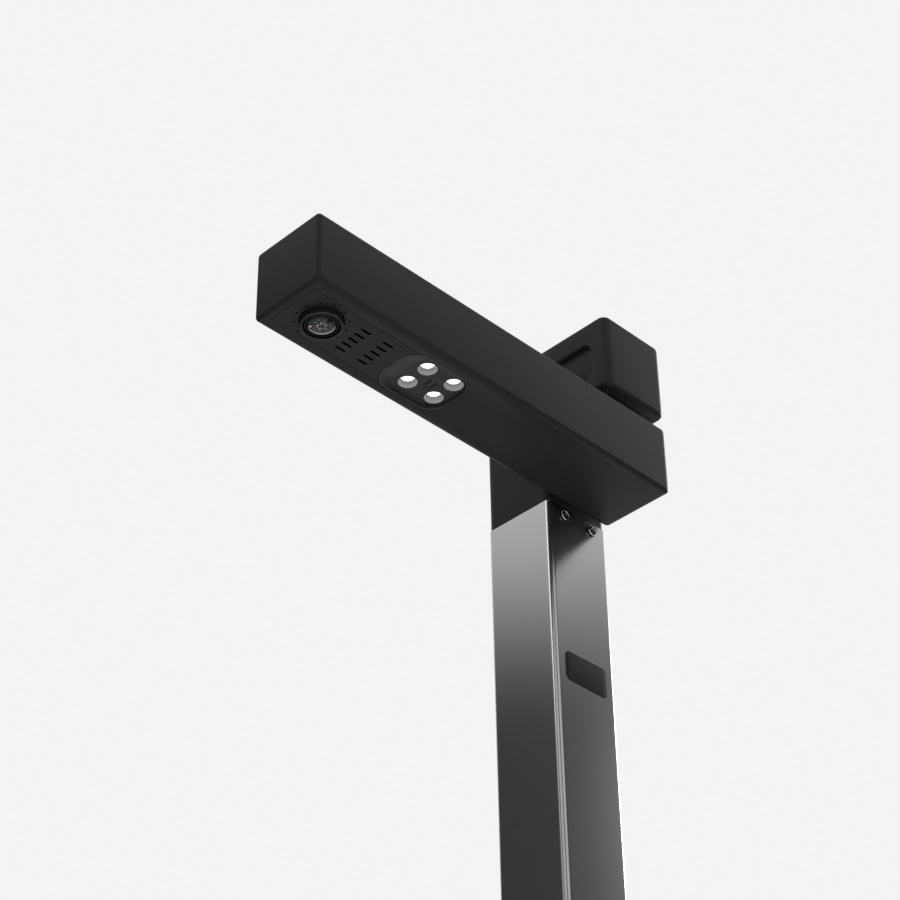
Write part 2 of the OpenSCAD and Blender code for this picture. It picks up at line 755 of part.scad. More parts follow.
module carrier_screws() {
    color(steel) in_head() for (p = carrier_screw_spots)
        translate([inner_w / 2 - inner_w, p[0], p[1]]) {
            translate([-head_wall + fit_gap, 0, 0]) along_x(screw_r, head_wall + carrier_plate_t);
            translate([carrier_plate_t, 0, 0]) along_x(screw_head_d / 2, screw_head_h);
        }
}
module hinge_bushes() {
    color("#6b5a3a") for (x = [head_x0 + head_wall, carrier_x1 - bush_l]) at_hinge(x) difference() {
        along_x(bush_r, bush_l);
        translate([-over, 0, 0]) along_x(shaft_r + run_gap, bush_l + 2 * over);
    }
}
module hinge_shaft() {
    x0 = -core_w / 2;
    color(steel) difference() {
        union() {
            at_hinge(x0) along_x(shaft_r, shaft_x1 - x0);
            at_hinge(core_w / 2) along_x(shaft_collar_r - fit_gap, head_x0 - side_gap - core_w / 2);
        }
        at_hinge(x0 - over) along_x(shaft_bore_r, shaft_x1 - x0 + 2 * over);
    }
}
module washer(x, r, t) {
    at_hinge(x) difference() {
        along_x(r, t);
        translate([-over, 0, 0]) along_x(shaft_r + run_gap, t + 2 * over);
    }
}
module thrust_washer() {
    color("#d8d4c8") washer(col_w / 2, washer_r, side_gap);
}
module friction_washer() {
    color("#7a5b3a") washer(carrier_x1, washer_r, friction_t);
}
module disc_springs() {
    ri = shaft_r + run_gap;
    ro = washer_r;
    color(steel) for (i = [0 : disc_count - 1]) {
        flip = i % 2;
        at_hinge(disc_x0 + fit_gap + i * disc_step) rotate([0, 90, 0]) rotate_extrude()
            polygon([[ri, flip * disc_rise], [ro, (1 - flip) * disc_rise],
                     [ro, (1 - flip) * disc_rise + disc_t], [ri, flip * disc_rise + disc_t]]);
    }
}
module hinge_nut() {
    color(steel) at_hinge(nut_x0) difference() {
        rotate([0, 90, 0]) cylinder(r = washer_r, h = nut_t, $fn = 6);
        translate([-over, 0, 0]) along_x(shaft_r + run_gap, nut_t + 2 * over);
    }
}

// Elbow and column
module each_col_screw() {
    for (s = [-1, 1], sy = [-1, 1]) translate([s * col_w / 2, sy * col_screw_pitch / 2, col_screw_z])
        rotate([0, s * 90, 0]) children();
}
module elbow_core() {
    z0 = tube_top - core_depth;
    color(steel) difference() {
        union() {
            difference() {
                translate([0, 0, z0]) slab(core_w, core_d, bore_r - fit_gap, cap_z0 - z0);
                translate([0, 0, z0 - over]) slab(core_w - 2 * core_wall, core_d - 2 * core_wall, bore_r,
                    cap_z0 - z0 - core_wall + over);
            }
            at_hinge(-core_w / 2) along_x(core_boss_r, core_w);
            translate([0, 0, cap_z0 - core_wall / 2]) slab(neck_w, neck_d, bore_r, neck_h + core_wall / 2);
        }
        at_hinge(-core_w / 2 - over) along_x(shaft_r + fit_gap / 5, core_w + 2 * over);
        for (s = [-1, 1]) translate([s * (neck_w / 2 - post_r), 0, cap_z0 - core_wall - over])
            cylinder(r = screw_r + screw_gap, h = core_wall + neck_h + 2 * over);
        each_col_screw() translate([0, 0, -tube_wall - core_wall - over])
            cylinder(r = screw_r + screw_gap, h = tube_wall + core_wall + 2 * over);
    }
}
module elbow_housing() {
    color(charcoal) difference() {
        translate([0, 0, tube_top]) slab(col_w, col_d, col_r, cap_z0 - tube_top);
        translate([0, 0, tube_top - over]) slab(bore_w, bore_d, bore_r, cap_z0 - tube_top + 2 * over);
        at_hinge(0) along_x(shaft_collar_r, col_w);
    }
}
module column_tube() {
    color(silver) difference() {
        translate([0, 0, plate_z1 + foot_t]) slab(col_w, col_d, col_r, tube_top - plate_z1 - foot_t);
        translate([0, 0, plate_z1]) slab(bore_w, bore_d, bore_r, tube_top);
        each_col_screw() translate([0, 0, -tube_wall - over])
            cylinder(r = screw_r + screw_gap, h = tube_wall + 2 * over);
    }
}
module column_screws() {
    dome_r = (screw_head_d * screw_head_d / 4 + screw_head_h * screw_head_h) / (2 * screw_head_h);
    color(silver) each_col_screw() difference() {
        union() {
            translate([0, 0, -tube_wall - core_wall + fit_gap])
                cylinder(r = screw_r, h = tube_wall + core_wall);
            intersection() {
                cylinder(d = screw_head_d, h = screw_head_h);
                translate([0, 0, screw_head_h - dome_r]) sphere(dome_r, $fn = 96);
            }
        }
        for (a = [0, 90]) rotate([0, 0, a + 45])
            translate([0, 0, screw_head_h]) cube([screw_head_d / 2, socket_w, 2 * socket_w], center = true);
    }
}
module column_pad() {
    color(dark) translate([col_w / 2, 0, tube_top - pad_drop]) rotate([90, 0, 90])
        slab(pad_l, pad_h, pad_r, pad_t);
}

// Cap above the head and the column
module cap_shell() {
    roof = cap_h - cap_wall;
    win_l = cap_l - 2 * floor_inset;
    win_d = cap_d - 2 * floor_inset;
    color(charcoal) in_cap() difference() {
        union() {
            difference() {
                translate([0, 0, cap_h / 2])
                    soft_block([cap_l, cap_d, cap_h], [cap_r, cap_edge_r, cap_edge_r]);
                box([-cap_l / 2 + cap_wall, -cap_d / 2 + cap_wall, cap_wall],
                    [cap_l / 2 - cap_wall, cap_d / 2 - cap_wall, roof]);
            }
            for (x = cap_screw_x) translate([x - cap_xc, 0, neck_h + panel_t])
                cylinder(r = post_r, h = roof - neck_h);
        }
        translate([0, 0, -over]) slab(win_l + 2 * seam, win_d + 2 * seam, cap_r, cap_wall + 2 * over);
        translate([0, -cap_d / 2 - over, cap_h / 2 - recess_drop]) rotate([-90, 0, 0])
            slab(recess_l, recess_h, recess_r, cap_wall + 2 * over);
        for (x = cap_screw_x) translate([x - cap_xc, 0, neck_h])
            cylinder(r = screw_r + screw_gap, h = standoff_h * 3);
    }
}
module cap_floor() {
    win_l = cap_l - 2 * floor_inset;
    win_d = cap_d - 2 * floor_inset;
    color(charcoal) in_cap() difference() {
        union() {
            slab(win_l, win_d, cap_r - seam, cap_wall);
            translate([0, 0, cap_wall]) slab(win_l + 2 * ledge_w, win_d + 2 * ledge_w, cap_r, ledge_t);
        }
        translate([-cap_xc, -cap_yc, -over])
            slab(neck_w + 2 * fit_gap, neck_d + 2 * fit_gap, bore_r + fit_gap,
            cap_wall + ledge_t + 2 * over);
    }
}
module cap_front_panel() {
    color(charcoal) in_cap()
        translate([0, -cap_d / 2 + cap_wall, cap_h / 2 - recess_drop]) rotate([-90, 0, 0])
            slab(recess_l + 4 * ledge_w, recess_h + 4 * ledge_w, recess_r + 2 * ledge_w, panel_t);
}
module cap_bracket() {
    x0 = cap_x0 + cap_wall + floor_inset / 2;
    x1 = head_x1 - cap_wall - floor_inset / 2;
    z = cap_z0 + neck_h;
    color(steel) difference() {
        union() {
            box([x0, cap_yc - bracket_d / 2, z], [x1, cap_yc + bracket_d / 2, z + panel_t]);
            // The fold that stands on the floor plate at the free end
            box([x1 - panel_t, cap_yc - bracket_d / 2, cap_z0 + cap_wall + ledge_t],
                [x1, cap_yc + bracket_d / 2, z + panel_t]);
            for (s = [-1, 1]) box([x0, cap_yc + s * (bracket_d - panel_t) / 2 - panel_t / 2, z],
                                  [x1, cap_yc + s * (bracket_d - panel_t) / 2 + panel_t / 2,
                                      z + bracket_fold]);
        }
        for (x = cap_screw_x) translate([x, cap_yc, z - over])
            cylinder(r = screw_r + screw_gap, h = panel_t + 2 * over);
        for (s = [-1, 1]) translate([s * (neck_w / 2 - post_r), 0, z - over])
            cylinder(r = screw_r + screw_gap, h = panel_t + 2 * over);
    }
}
module cap_screws() {
    z = cap_z0 + neck_h;
    head_r = screw_head_d / 2;
    color(steel) {
        // Two screws go up through the bracket into the shell's posts, and two hold the bracket on the neck
        for (x = cap_screw_x) {
            translate([x, cap_yc, z - screw_head_h]) cylinder(r = head_r, h = screw_head_h);
            translate([x, cap_yc, z - fit_gap]) cylinder(r = screw_r, h = 2.5 * standoff_h);
        }
        for (s = [-1, 1]) translate([s * (neck_w / 2 - post_r), 0, z + panel_t]) {
            cylinder(r = head_r, h = screw_head_h);
            translate([0, 0, -neck_h - panel_t + fit_gap]) cylinder(r = screw_r, h = neck_h + panel_t);
        }
    }
}

// Base
module column_foot() {
    z1 = plate_z1 + foot_t;
    color(steel) difference() {
        union() {
            translate([0, 0, plate_z1]) slab(foot_w, foot_d, foot_flange / 2, foot_t);
            translate([0, 0, z1]) slab(core_w, core_d, bore_r - fit_gap, foot_depth);
        }
        translate([0, 0, plate_z1 - over])
            slab(core_w - 2 * foot_wall, core_d - 2 * foot_wall, bore_r, foot_t + foot_depth + 2 * over);
        // The way for the cable from the base into the column
        box([-cable_way / 2, 0, plate_z1 - over], [cable_way / 2, foot_d, z1 - foot_t / 4]);
        for (p = foot_screw_spots) translate([p[0], p[1], plate_z1 - over])
            cylinder(r = screw_r + screw_gap, h = foot_t + 2 * over);
    }
}
module flat_screw(l) {
    cylinder(r1 = screw_head_d / 2 - screw_gap, r2 = screw_r, h = screw_head_h);
    cylinder(r = screw_r, h = l);
}
module flat_screw_hole(l) {
    translate([0, 0, -over]) cylinder(r = screw_head_d / 2, h = over);
    cylinder(r1 = screw_head_d / 2, r2 = screw_r + screw_gap, h = screw_head_h);
    cylinder(r = screw_r + screw_gap, h = l);
}
module foot_screws() {
    color(steel) for (p = foot_screw_spots) translate([p[0], p[1], sole_t]) flat_screw(foot_screw_l);
}
module base_screws() {
    color(steel) for (p = base_screw_spots) translate([p[0], p[1], sole_t]) flat_screw(base_screw_l);
}
module base_plate() {
    w = base_w - 2 * base_wall - 2 * fit_gap;
    d = base_d - 2 * base_wall - 2 * fit_gap;
    color(steel) difference() {
        union() {
            translate([base_xc, base_yc, sole_t]) slab(w, d, base_r - base_wall, plate_t);
            for (p = main_posts) translate([p[0], p[1], plate_z1]) cylinder(r = post_r, h = standoff_h);
        }
        for (p = concat(foot_screw_spots, base_screw_spots)) translate([p[0], p[1], sole_t])
            flat_screw_hole(plate_t + over);
        for (p = main_posts) translate([p[0], p[1], plate_z1]) cylinder(r = screw_r, h = standoff_h + over);
    }
}
module rubber_sole() {
    color("#18191a") translate([base_xc, base_yc, 0])
        slab(base_w - 2 * sole_inset, base_d - 2 * sole_inset, base_r - sole_inset / 2, sole_t);
}
module base_block() {
    translate([base_xc, base_yc, sole_t]) intersection() {
        soft_block([base_w, base_d, 2 * base_h], [base_r, base_edge_r, base_edge_r]);
        translate([0, 0, base_h / 2]) cube([base_w, base_d, base_h], center = true);
    }
}
module base_cover() {
    color(charcoal) difference() {
        union() {
            difference() {
                base_block();
                translate([base_xc, base_yc, sole_t - over])
                    slab(base_w - 2 * base_wall, base_d - 2 * base_wall, base_r - base_wall,
                        base_h - base_wall + over);
            }
            for (p = base_screw_spots) translate([p[0], p[1], plate_z1])
                cylinder(r = post_r, h = roof_z - plate_z1 + over);
        }
        translate([0, 0, plate_z1]) slab(col_w + 2 * button_gap, col_d + 2 * button_gap,
            col_r + button_gap, base_h);
        for (p = base_screw_spots) translate([p[0], p[1], plate_z1 - over])
            cylinder(r = screw_r + screw_gap, h = base_screw_l - plate_t + 2 * over);
        translate([scan_x, key_y, plate_z1]) cylinder(d = scan_button_d + 2 * button_gap, h = base_h);
        translate([power_x, key_y, plate_z1]) cylinder(d = power_button_d + 2 * button_gap, h = base_h);
        translate([port_x, base_y1 - base_wall - over, port_z]) rotate([-90, 0, 0])
            slab(port_w + 2 * fit_gap, port_h + 2 * fit_gap, port_h / 2 - fit_gap, base_wall + 2 * over);
    }
}
module ballast_block() {
    w = ballast_x1 - ballast_x0;
    d = ballast_y1 - ballast_y0;
    color("#55585b") translate([(ballast_x0 + ballast_x1) / 2, (ballast_y0 + ballast_y1) / 2, plate_z1])
        slab(w, d, ballast_r, ballast_t);
}
module key_board() {
    color(board_green) translate([key_x, key_y, key_z0]) {
        slab(key_w, key_d, ledge_w, board_t);
        for (x = [scan_x, power_x]) translate([x - key_x, 0, board_t])
            slab(switch_w, switch_w, fit_gap, switch_h);
    }
}
module button(d) {
    color(dark) {
        translate([0, 0, roof_z - button_flange_t])
            cylinder(d = d + 2 * button_flange, h = button_flange_t);
        translate([0, 0, roof_z - button_flange_t])
            cylinder(d = d, h = base_wall + button_proud + button_flange_t);
        translate([0, 0, stem_z]) cylinder(r = stem_r, h = roof_z - stem_z);
    }
}
module scan_button() {
    translate([scan_x, key_y, 0]) button(scan_button_d);
}
module power_button() {
    translate([power_x, key_y, 0]) button(power_button_d);
}
module main_board() {
    color(board_green) difference() {
        translate([main_x, main_y1 - main_d / 2, main_z0]) union() {
            slab(main_w, main_d, ledge_w, board_t);
            translate([0, -main_d / 5, board_t]) slab(sensor_w, sensor_w, fit_gap, chip_t);
            translate([-main_w / 3, 0, board_t]) slab(switch_w, switch_w * 1.5, fit_gap, 2 * chip_t);
        }
        for (p = main_posts) translate([p[0], p[1], main_z0 - over])
            cylinder(r = screw_r, h = board_t + 2 * over);
    }
}
module usb_port() {
    y1 = base_y1 - port_set;
    color(silver) translate([port_x, y1, port_z]) rotate([90, 0, 0]) difference() {
        slab(port_w, port_h, port_h / 2 - fit_gap, port_l);
        difference() {
            translate([0, 0, -over]) slab(port_slot_w, port_slot_h, port_slot_h / 2 - fit_gap,
                port_l - port_back + over);
            translate([0, 0, port_back]) linear_extrude(port_l)
                square([port_tongue_w, port_tongue_t], center = true);
        }
    }
}

head_shell();
head_top_cover();
belly_cover();
lens_collar();
lens_ring();
front_glass();
iris_ring();
inner_lens();
lens_holder();
image_sensor();
camera_board();
lamp_tray();
lamps();
lamp_board();
lamp_heatsink();
head_chassis();
processor_board();
hinge_carrier();
carrier_screws();
hinge_bushes();
hinge_shaft();
thrust_washer();
friction_washer();
disc_springs();
hinge_nut();
elbow_core();
elbow_housing();
cap_shell();
cap_floor();
cap_front_panel();
cap_bracket();
cap_screws();
column_tube();
column_screws();
column_pad();
column_foot();
foot_screws();
base_cover();
base_plate();
base_screws();
rubber_sole();
ballast_block();
key_board();
scan_button();
power_button();
main_board();
usb_port();
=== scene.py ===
import math

import bmesh
import bpy
from mathutils import Matrix, Vector


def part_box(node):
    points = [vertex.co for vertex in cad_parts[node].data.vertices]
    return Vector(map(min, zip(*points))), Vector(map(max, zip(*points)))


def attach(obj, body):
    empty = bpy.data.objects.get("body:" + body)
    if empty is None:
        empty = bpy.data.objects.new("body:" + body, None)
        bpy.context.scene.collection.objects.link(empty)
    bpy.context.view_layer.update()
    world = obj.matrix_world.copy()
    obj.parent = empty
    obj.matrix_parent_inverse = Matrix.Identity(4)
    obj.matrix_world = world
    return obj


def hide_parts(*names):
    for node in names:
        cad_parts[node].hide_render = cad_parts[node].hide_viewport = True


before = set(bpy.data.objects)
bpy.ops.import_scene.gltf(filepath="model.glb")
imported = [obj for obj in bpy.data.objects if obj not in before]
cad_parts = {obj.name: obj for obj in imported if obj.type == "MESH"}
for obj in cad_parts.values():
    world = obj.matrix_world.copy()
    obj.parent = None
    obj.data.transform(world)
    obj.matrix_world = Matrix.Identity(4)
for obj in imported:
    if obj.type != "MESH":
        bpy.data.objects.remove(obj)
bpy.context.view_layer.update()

# Sizes in metres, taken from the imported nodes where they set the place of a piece
MM = 0.001
head_low, head_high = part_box("head_shell")
lid_low, lid_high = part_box("head_top_cover")
cap_low, cap_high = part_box("cap_shell")
column_low, column_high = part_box("column_tube")
base_low, base_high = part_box("base_cover")
tray_low, tray_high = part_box("lamp_tray")
lamps_low, lamps_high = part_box("lamps")
glass_low, glass_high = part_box("front_glass")
collar_low, collar_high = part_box("lens_collar")
pad_low, pad_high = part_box("column_pad")
shaft_low, shaft_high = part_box("hinge_shaft")
iris_low, iris_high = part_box("iris_ring")
recess_low, recess_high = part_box("cap_front_panel")
screws_low, screws_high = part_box("column_screws")
scan_low, scan_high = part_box("scan_button")
power_low, power_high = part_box("power_button")
port_low, port_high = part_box("usb_port")

# Walls, seams and the edge radii of the head
WALL = 2 * MM
SEAM = 0.15 * MM
SEAM_EDGE = 0.22 * MM
SIDE_RADIUS = 2.7 * MM
LEAST_SIDE_RADIUS = 1.2 * MM
FRONT_RADIUS = 2.2 * MM
REAR_RADIUS = 4.5 * MM

# Distances below which two points are one, and a point counts as on a plane
SAME_POINT = 1e-7
ON_PLANE = 1e-6

# A hair's breadth, for the finest gaps and edges
HAIR = 0.05 * MM

head_middle = (head_low.x + head_high.x) / 2
column_x = (column_low.x + column_high.x) / 2
column_y = (column_low.y + column_high.y) / 2
lens_y = (glass_low.y + glass_high.y) / 2
lens_place = Matrix.Translation((head_middle, lens_y, head_low.z))
lens_spot = tuple(lens_place.translation)

# Scales that turn a place into millimetres: flat across the lens, and along a height alone
ACROSS = (1 / MM, 1 / MM, 0)
UPWARD = (0, 0, 1 / MM)


# Arithmetic and nodes for the finishes
class Reading:
    """One value on its way through a finish; arithmetic on it adds Math nodes."""

    def __init__(self, finish, socket):
        self.finish = finish
        self.socket = socket

    def math(self, operation, first, second):
        return self.finish.add("ShaderNodeMath", {"operation": operation}, {0: first, 1: second})

    def __add__(self, other):
        return self.math("ADD", self, other)

    def __sub__(self, other):
        return self.math("SUBTRACT", self, other)

    def __rsub__(self, other):
        return self.math("SUBTRACT", other, self)

    def __mul__(self, other):
        return self.math("MULTIPLY", self, other)

    __radd__ = __add__
    __rmul__ = __mul__

    def above(self, limit):
        return self.math("GREATER_THAN", self, limit)

    def below(self, limit):
        return self.math("LESS_THAN", self, limit)

    def at_most(self, limit):
        return self.math("MINIMUM", self, limit)


class Finish:
    """A material on one Principled shader; what is even all over goes straight to its sockets."""

    def __init__(self, name, **settings):
        self.material = bpy.data.materials.new(name)
        self.material.use_nodes = True
        self.tree = self.material.node_tree
        self.tree.nodes.clear()
        self.shader = self.tree.nodes.new("ShaderNodeBsdfPrincipled")
        output = self.tree.nodes.new("ShaderNodeOutputMaterial")
        self.tree.links.new(self.shader.outputs[0], output.inputs["Surface"])
        for socket, value in settings.items():
            self.feed(socket.replace("_", " "), value)

    def feed(self, socket, value):
        target = self.shader.inputs[socket]
        if isinstance(value, Reading):
            self.tree.links.new(value.socket, target)
        elif target.type == "RGBA":
            target.default_value = (*value, 1)
        else:
            target.default_value = value

    def add(self, kind, settings=None, inputs=None, output=0):
        node = self.tree.nodes.new(kind)
        for name, value in (settings or {}).items():
            if name == "stops":
                stops = node.color_ramp.elements
                for spare in list(stops)[1:]:
                    stops.remove(spare)
                stops[0].position, stops[0].color = value[0][0], (*value[0][1], 1)
                for place, colour in value[1:]:
                    stops.new(place).color = (*colour, 1)
            else:
                setattr(node, name, value)
        for name, value in (inputs or {}).items():
            if isinstance(value, Reading):
                self.tree.links.new(value.socket, node.inputs[name])
            else:
                node.inputs[name].default_value = value
        return Reading(self, node.outputs[output])

    def place(self, centre=(0, 0, 0), scale=(1, 1, 1)):
        """Object coordinates counted from a centre, in metres times scale."""
        here = self.add("ShaderNodeTexCoord", output="Object")
        moved = self.add("ShaderNodeVectorMath", {"operation": "SUBTRACT"}, {0: here, 1: centre})
        return self.add("ShaderNodeVectorMath", {"operation": "MULTIPLY"}, {0: moved, 1: scale})

    def length(self, place):
        """How far a place lies from its centre."""
        return self.add("ShaderNodeVectorMath", {"operation": "LENGTH"}, {0: place}, output=1)

    def noise(self, place, scale, detail, roughness=0.5):
        return self.add("ShaderNodeTexNoise", None,
                        {"Vector": place, "Scale": scale, "Detail": detail, "Roughness": roughness})

    def cells(self, place, scale):
        """Distance from the nearest of many scattered points."""
        return self.add("ShaderNodeTexVoronoi", None, {"Vector": place, "Scale": scale},
                        output="Distance")

    def blend(self, share, first, second):
        """A colour between two colours."""
        return self.add("ShaderNodeMix", {"data_type": "RGBA"},
                        {0: share, 6: self.colour(first), 7: self.colour(second)}, output=2)

    def colour(self, value):
        return value if isinstance(value, Reading) else (*value, 1)

    def tones(self, share, colour, darkest, lightest, socket="Base Color"):
        """Lets a colour wander between a darker and a lighter tone of itself."""
        self.feed(socket, self.blend(share, shade(colour, darkest), shade(colour, lightest)))

    def relief(self, height, depth):
        """Sets a bump of a real depth, in metres."""
        self.feed("Normal", self.add("ShaderNodeBump", None,
                                     {"Height": height, "Distance": depth, "Strength": 1.0}))


def shade(colour, factor):
    return tuple(c * factor for c in colour)


# Finishes
def moulded_plastic(name, colour, roughness, grain=0.4 * MM, depth=0.012 * MM, specular=0.3):
    """Plastic from a spark-eroded mould: fine even grain with a faint cloudiness over it."""
    finish = Finish(name, Specular_IOR_Level=specular)
    here = finish.place()
    cloud = finish.noise(here, 22, detail=3)
    pits = finish.noise(here, 1 / grain, detail=1)
    rub = finish.noise(finish.place(scale=(1, 0.25, 1)), 160, detail=4, roughness=0.65)
    tone = 0.5 * cloud + 0.3 * pits + 0.2 * rub
    finish.tones(tone, colour, 0.78, 1.22)
    finish.feed("Roughness", roughness - 0.05 + 0.06 * cloud + 0.05 * rub)
    finish.relief(pits, depth)
    return finish.material


def satin_metal(name, colour, roughness, brush=(1, 1, 1), streaks=1500,
                depth=0.002 * MM, spread=0.05, vary=0.12):
    """Anodised or plated metal with a fine grain, drawn out to brush marks where brush is small."""
    finish = Finish(name, Metallic=1.0)
    here = finish.place()
    grain = finish.noise(finish.place(scale=brush), streaks, detail=3, roughness=0.6)
    cloud = finish.noise(here, 14, detail=2)
    tone = 0.7 * grain + 0.3 * cloud
    finish.tones(tone, colour, 1 - spread, 1 + spread)
    finish.feed("Roughness", roughness - 0.5 * vary + vary * grain + 0.3 * vary * cloud)
    finish.relief(grain, depth)
    return finish.material


def turned_metal(name, colour, roughness, centre, specular=0.15):
    """Metal in a black coat that still shows the lathe's faint rings round the lens axis."""
    pitch = 0.12 * MM
    finish = Finish(name, Specular_IOR_Level=specular)
    here = finish.place(centre)
    rings = finish.add("ShaderNodeTexWave", {"wave_type": "RINGS", "rings_direction": "Z"},
                       {"Vector": here, "Scale": 0.05 / pitch, "Distortion": 0.3, "Detail": 1.0})
    cloud = finish.noise(here, 60, detail=2)
    tone = 0.5 * rings + 0.5 * cloud
    finish.tones(tone, colour, 0.85, 1.15)
    finish.feed("Roughness", roughness + 0.08 * cloud)
    finish.relief(rings, 0.003 * MM)
    return finish.material


def cast_metal(name, colour, roughness):
    """A die casting: metal with a slightly pitted skin."""
    finish = Finish(name, Metallic=1.0)
    here = finish.place()
    pits = finish.noise(here, 900, detail=3, roughness=0.6)
    cloud = finish.noise(here, 45, detail=3)
    finish.tones(cloud, colour, 0.85, 1.1)
    finish.feed("Roughness", roughness + 0.12 * pits)
    finish.relief(pits, 0.03 * MM)
    return finish.material


def coated_glass(name, tint, roughness):
    """Lens glass with a thin coating and a trace of dust."""
    finish = Finish(name, Transmission_Weight=1.0, IOR=1.52,
                    Thin_Film_Thickness=320.0, Thin_Film_IOR=1.38)
    dust = finish.noise(finish.place(), 700, detail=3)
    finish.tones(dust, tint, 0.97, 1.0)
    finish.feed("Roughness", roughness + 0.02 * dust)
    return finish.material


def lens_elements_and_reflections(name, centre):
    """Coated front glass painted with the inner element and mottled barrel behind it, with painted
    reflections: sparks and a lit crescent, and a patch of painted shade.
    """
    finish = Finish(name, Coat_Roughness=0.04, Coat_IOR=1.5, Roughness=0.4, Specular_IOR_Level=0.1)

    def from_spot(x, y):
        """Millimetres from a spot x and y millimetres beside the lens axis."""
        spot = (centre[0] + x * MM, centre[1] + y * MM, centre[2])
        return finish.length(finish.place(spot, ACROSS))

    # Radii in millimetres, and spots beside the axis
    barrel_end, coated_end, element_end, ring_start, ring_end = 8, 6.4, 2.6, 3.6, 4.6
    shade_patch, shade_patch_end = (5.9, 0.3), 1.5
    shadow, shadow_end, crescent_end = (1.1, -1.1), 6.85, 6.6
    edge_spark, edge_spark_end, spark_size = (-3.9, -3.7), 0.5, 0.3
    here = finish.place(centre, ACROSS)
    radius = finish.length(here)
    mottle = finish.noise(here, 0.55, detail=3, roughness=0.6)
    tone = finish.add("ShaderNodeValToRGB", {"stops": [
        (0.0, (0.03, 0.027, 0.042)), (0.33, (0.022, 0.022, 0.032)), (0.36, (0.11, 0.115, 0.125)),
        (0.40, (0.11, 0.115, 0.125)), (0.44, (0.05, 0.052, 0.055)), (0.74, (0.035, 0.036, 0.038)),
        (0.79, (0.006, 0.006, 0.007)), (1.0, (0.003, 0.003, 0.003))]},
        {0: radius * (1 / barrel_end)})
    shaded = finish.blend(mottle * 4.0 - 1.5, (0.004, 0.004, 0.005), tone)

    # Painted shade: a dark patch near the glass's edge, where the coat is left off; and a painted
    # reflection: a lit crescent along the opposite edge
    outside_shade_patch = from_spot(*shade_patch).above(shade_patch_end)
    shaded = finish.blend(outside_shade_patch, (0.002, 0.002, 0.002), shaded)
    crescent = from_spot(*shadow).above(shadow_end) * radius.below(crescent_end)
    shaded = finish.blend(crescent * 0.8, shaded, (0.36, 0.37, 0.38))

    # Painted highlights: pale sparks in the inner element, green ones round it and one at the edge
    spark = finish.cells(here, 1.15).below(spark_size)
    shaded = finish.blend(spark * radius.below(element_end), shaded, (0.7, 0.68, 0.76))
    around = radius.above(ring_start) * radius.below(ring_end)
    shaded = finish.blend(spark * around, shaded, (0.09, 0.3, 0.26))
    at_edge = from_spot(*edge_spark).below(edge_spark_end)
    shaded = finish.blend(at_edge, shaded, (0.8, 0.8, 0.82))
    finish.feed("Base Color", shaded)
    finish.feed("Coat Weight", radius.below(coated_end) * mottle * outside_shade_patch * 0.5)
    return finish.material


def cup_reflector(name, lamp_z, fade):
    """White reflector plastic with painted shade: grey beside the lamp, deep in the cup, and
    brightest fade millimetres away from it.
    """
    finish = Finish(name, Roughness=0.3, Specular_IOR_Level=0.3)
    from_lamp = finish.length(finish.place((0, 0, lamp_z), UPWARD))
    grain = finish.noise(finish.place(), 900, detail=1)
    share = (from_lamp * (1 / fade) + 0.1 * grain).at_most(1.0)
    finish.feed("Base Color", finish.blend(share, (0.2, 0.2, 0.203), (0.38, 0.38, 0.385)))
    return finish.material


def lamp_light(name, colour, strength):
    """A lit lamp: even light with a faint grain from the dome over its chips."""
    finish = Finish(name, Roughness=0.3, Emission_Strength=strength)
    grain = finish.noise(finish.place(), 900, detail=1)
    finish.tones(grain, colour, 0.96, 1.0)
    finish.tones(grain, colour, 0.97, 1.0, "Emission Color")
    return finish.material


def circuit_board(name, colour):
    """Solder mask over copper tracks."""
    finish = Finish(name, Specular_IOR_Level=0.5)
    tracks = finish.add("ShaderNodeTexBrick", {"offset": 0.5},
                        {"Vector": finish.place(), "Scale": 160.0,
                         "Mortar Size": 0.08, "Mortar Smooth": 0.1}, output="Fac")
    cloud = finish.noise(finish.place(), 120, detail=2)
    finish.tones(0.7 * tracks + 0.3 * cloud, colour, 1.0, 1.9)
    finish.feed("Roughness", 0.32 + 0.12 * cloud)
    finish.relief(tracks, 0.02 * MM)
    return finish.material


def soft_rubber(name, colour):
    """Matt rubber with a fine anti-slip texture."""
    finish = Finish(name, Specular_IOR_Level=0.25)
    here = finish.place()
    ribs = finish.cells(here, 900.0)
    dust = finish.noise(here, 35, detail=5, roughness=0.6)
    finish.tones(dust, colour, 1.0, 1.7)
    finish.feed("Roughness", 0.78 + 0.15 * dust)
    finish.relief(ribs, 0.12 * MM)
    return finish.material


CHARCOAL = (0.0165, 0.0168, 0.0173)
BLACK = (0.007, 0.007, 0.0075)
ALUMINIUM = (0.445, 0.449, 0.453)

charcoal = moulded_plastic("charcoal_plastic", CHARCOAL, 0.44, specular=0.12)
# Near-black for bores, holes, grooves and inner walls: painted shade where light doesn't reach
painted_shade_black = moulded_plastic("painted_shade_black", shade(BLACK, 0.25), 0.75, specular=0.08)
trim = moulded_plastic("black_trim", BLACK, 0.5, grain=0.25 * MM, depth=0.006 * MM, specular=0.12)
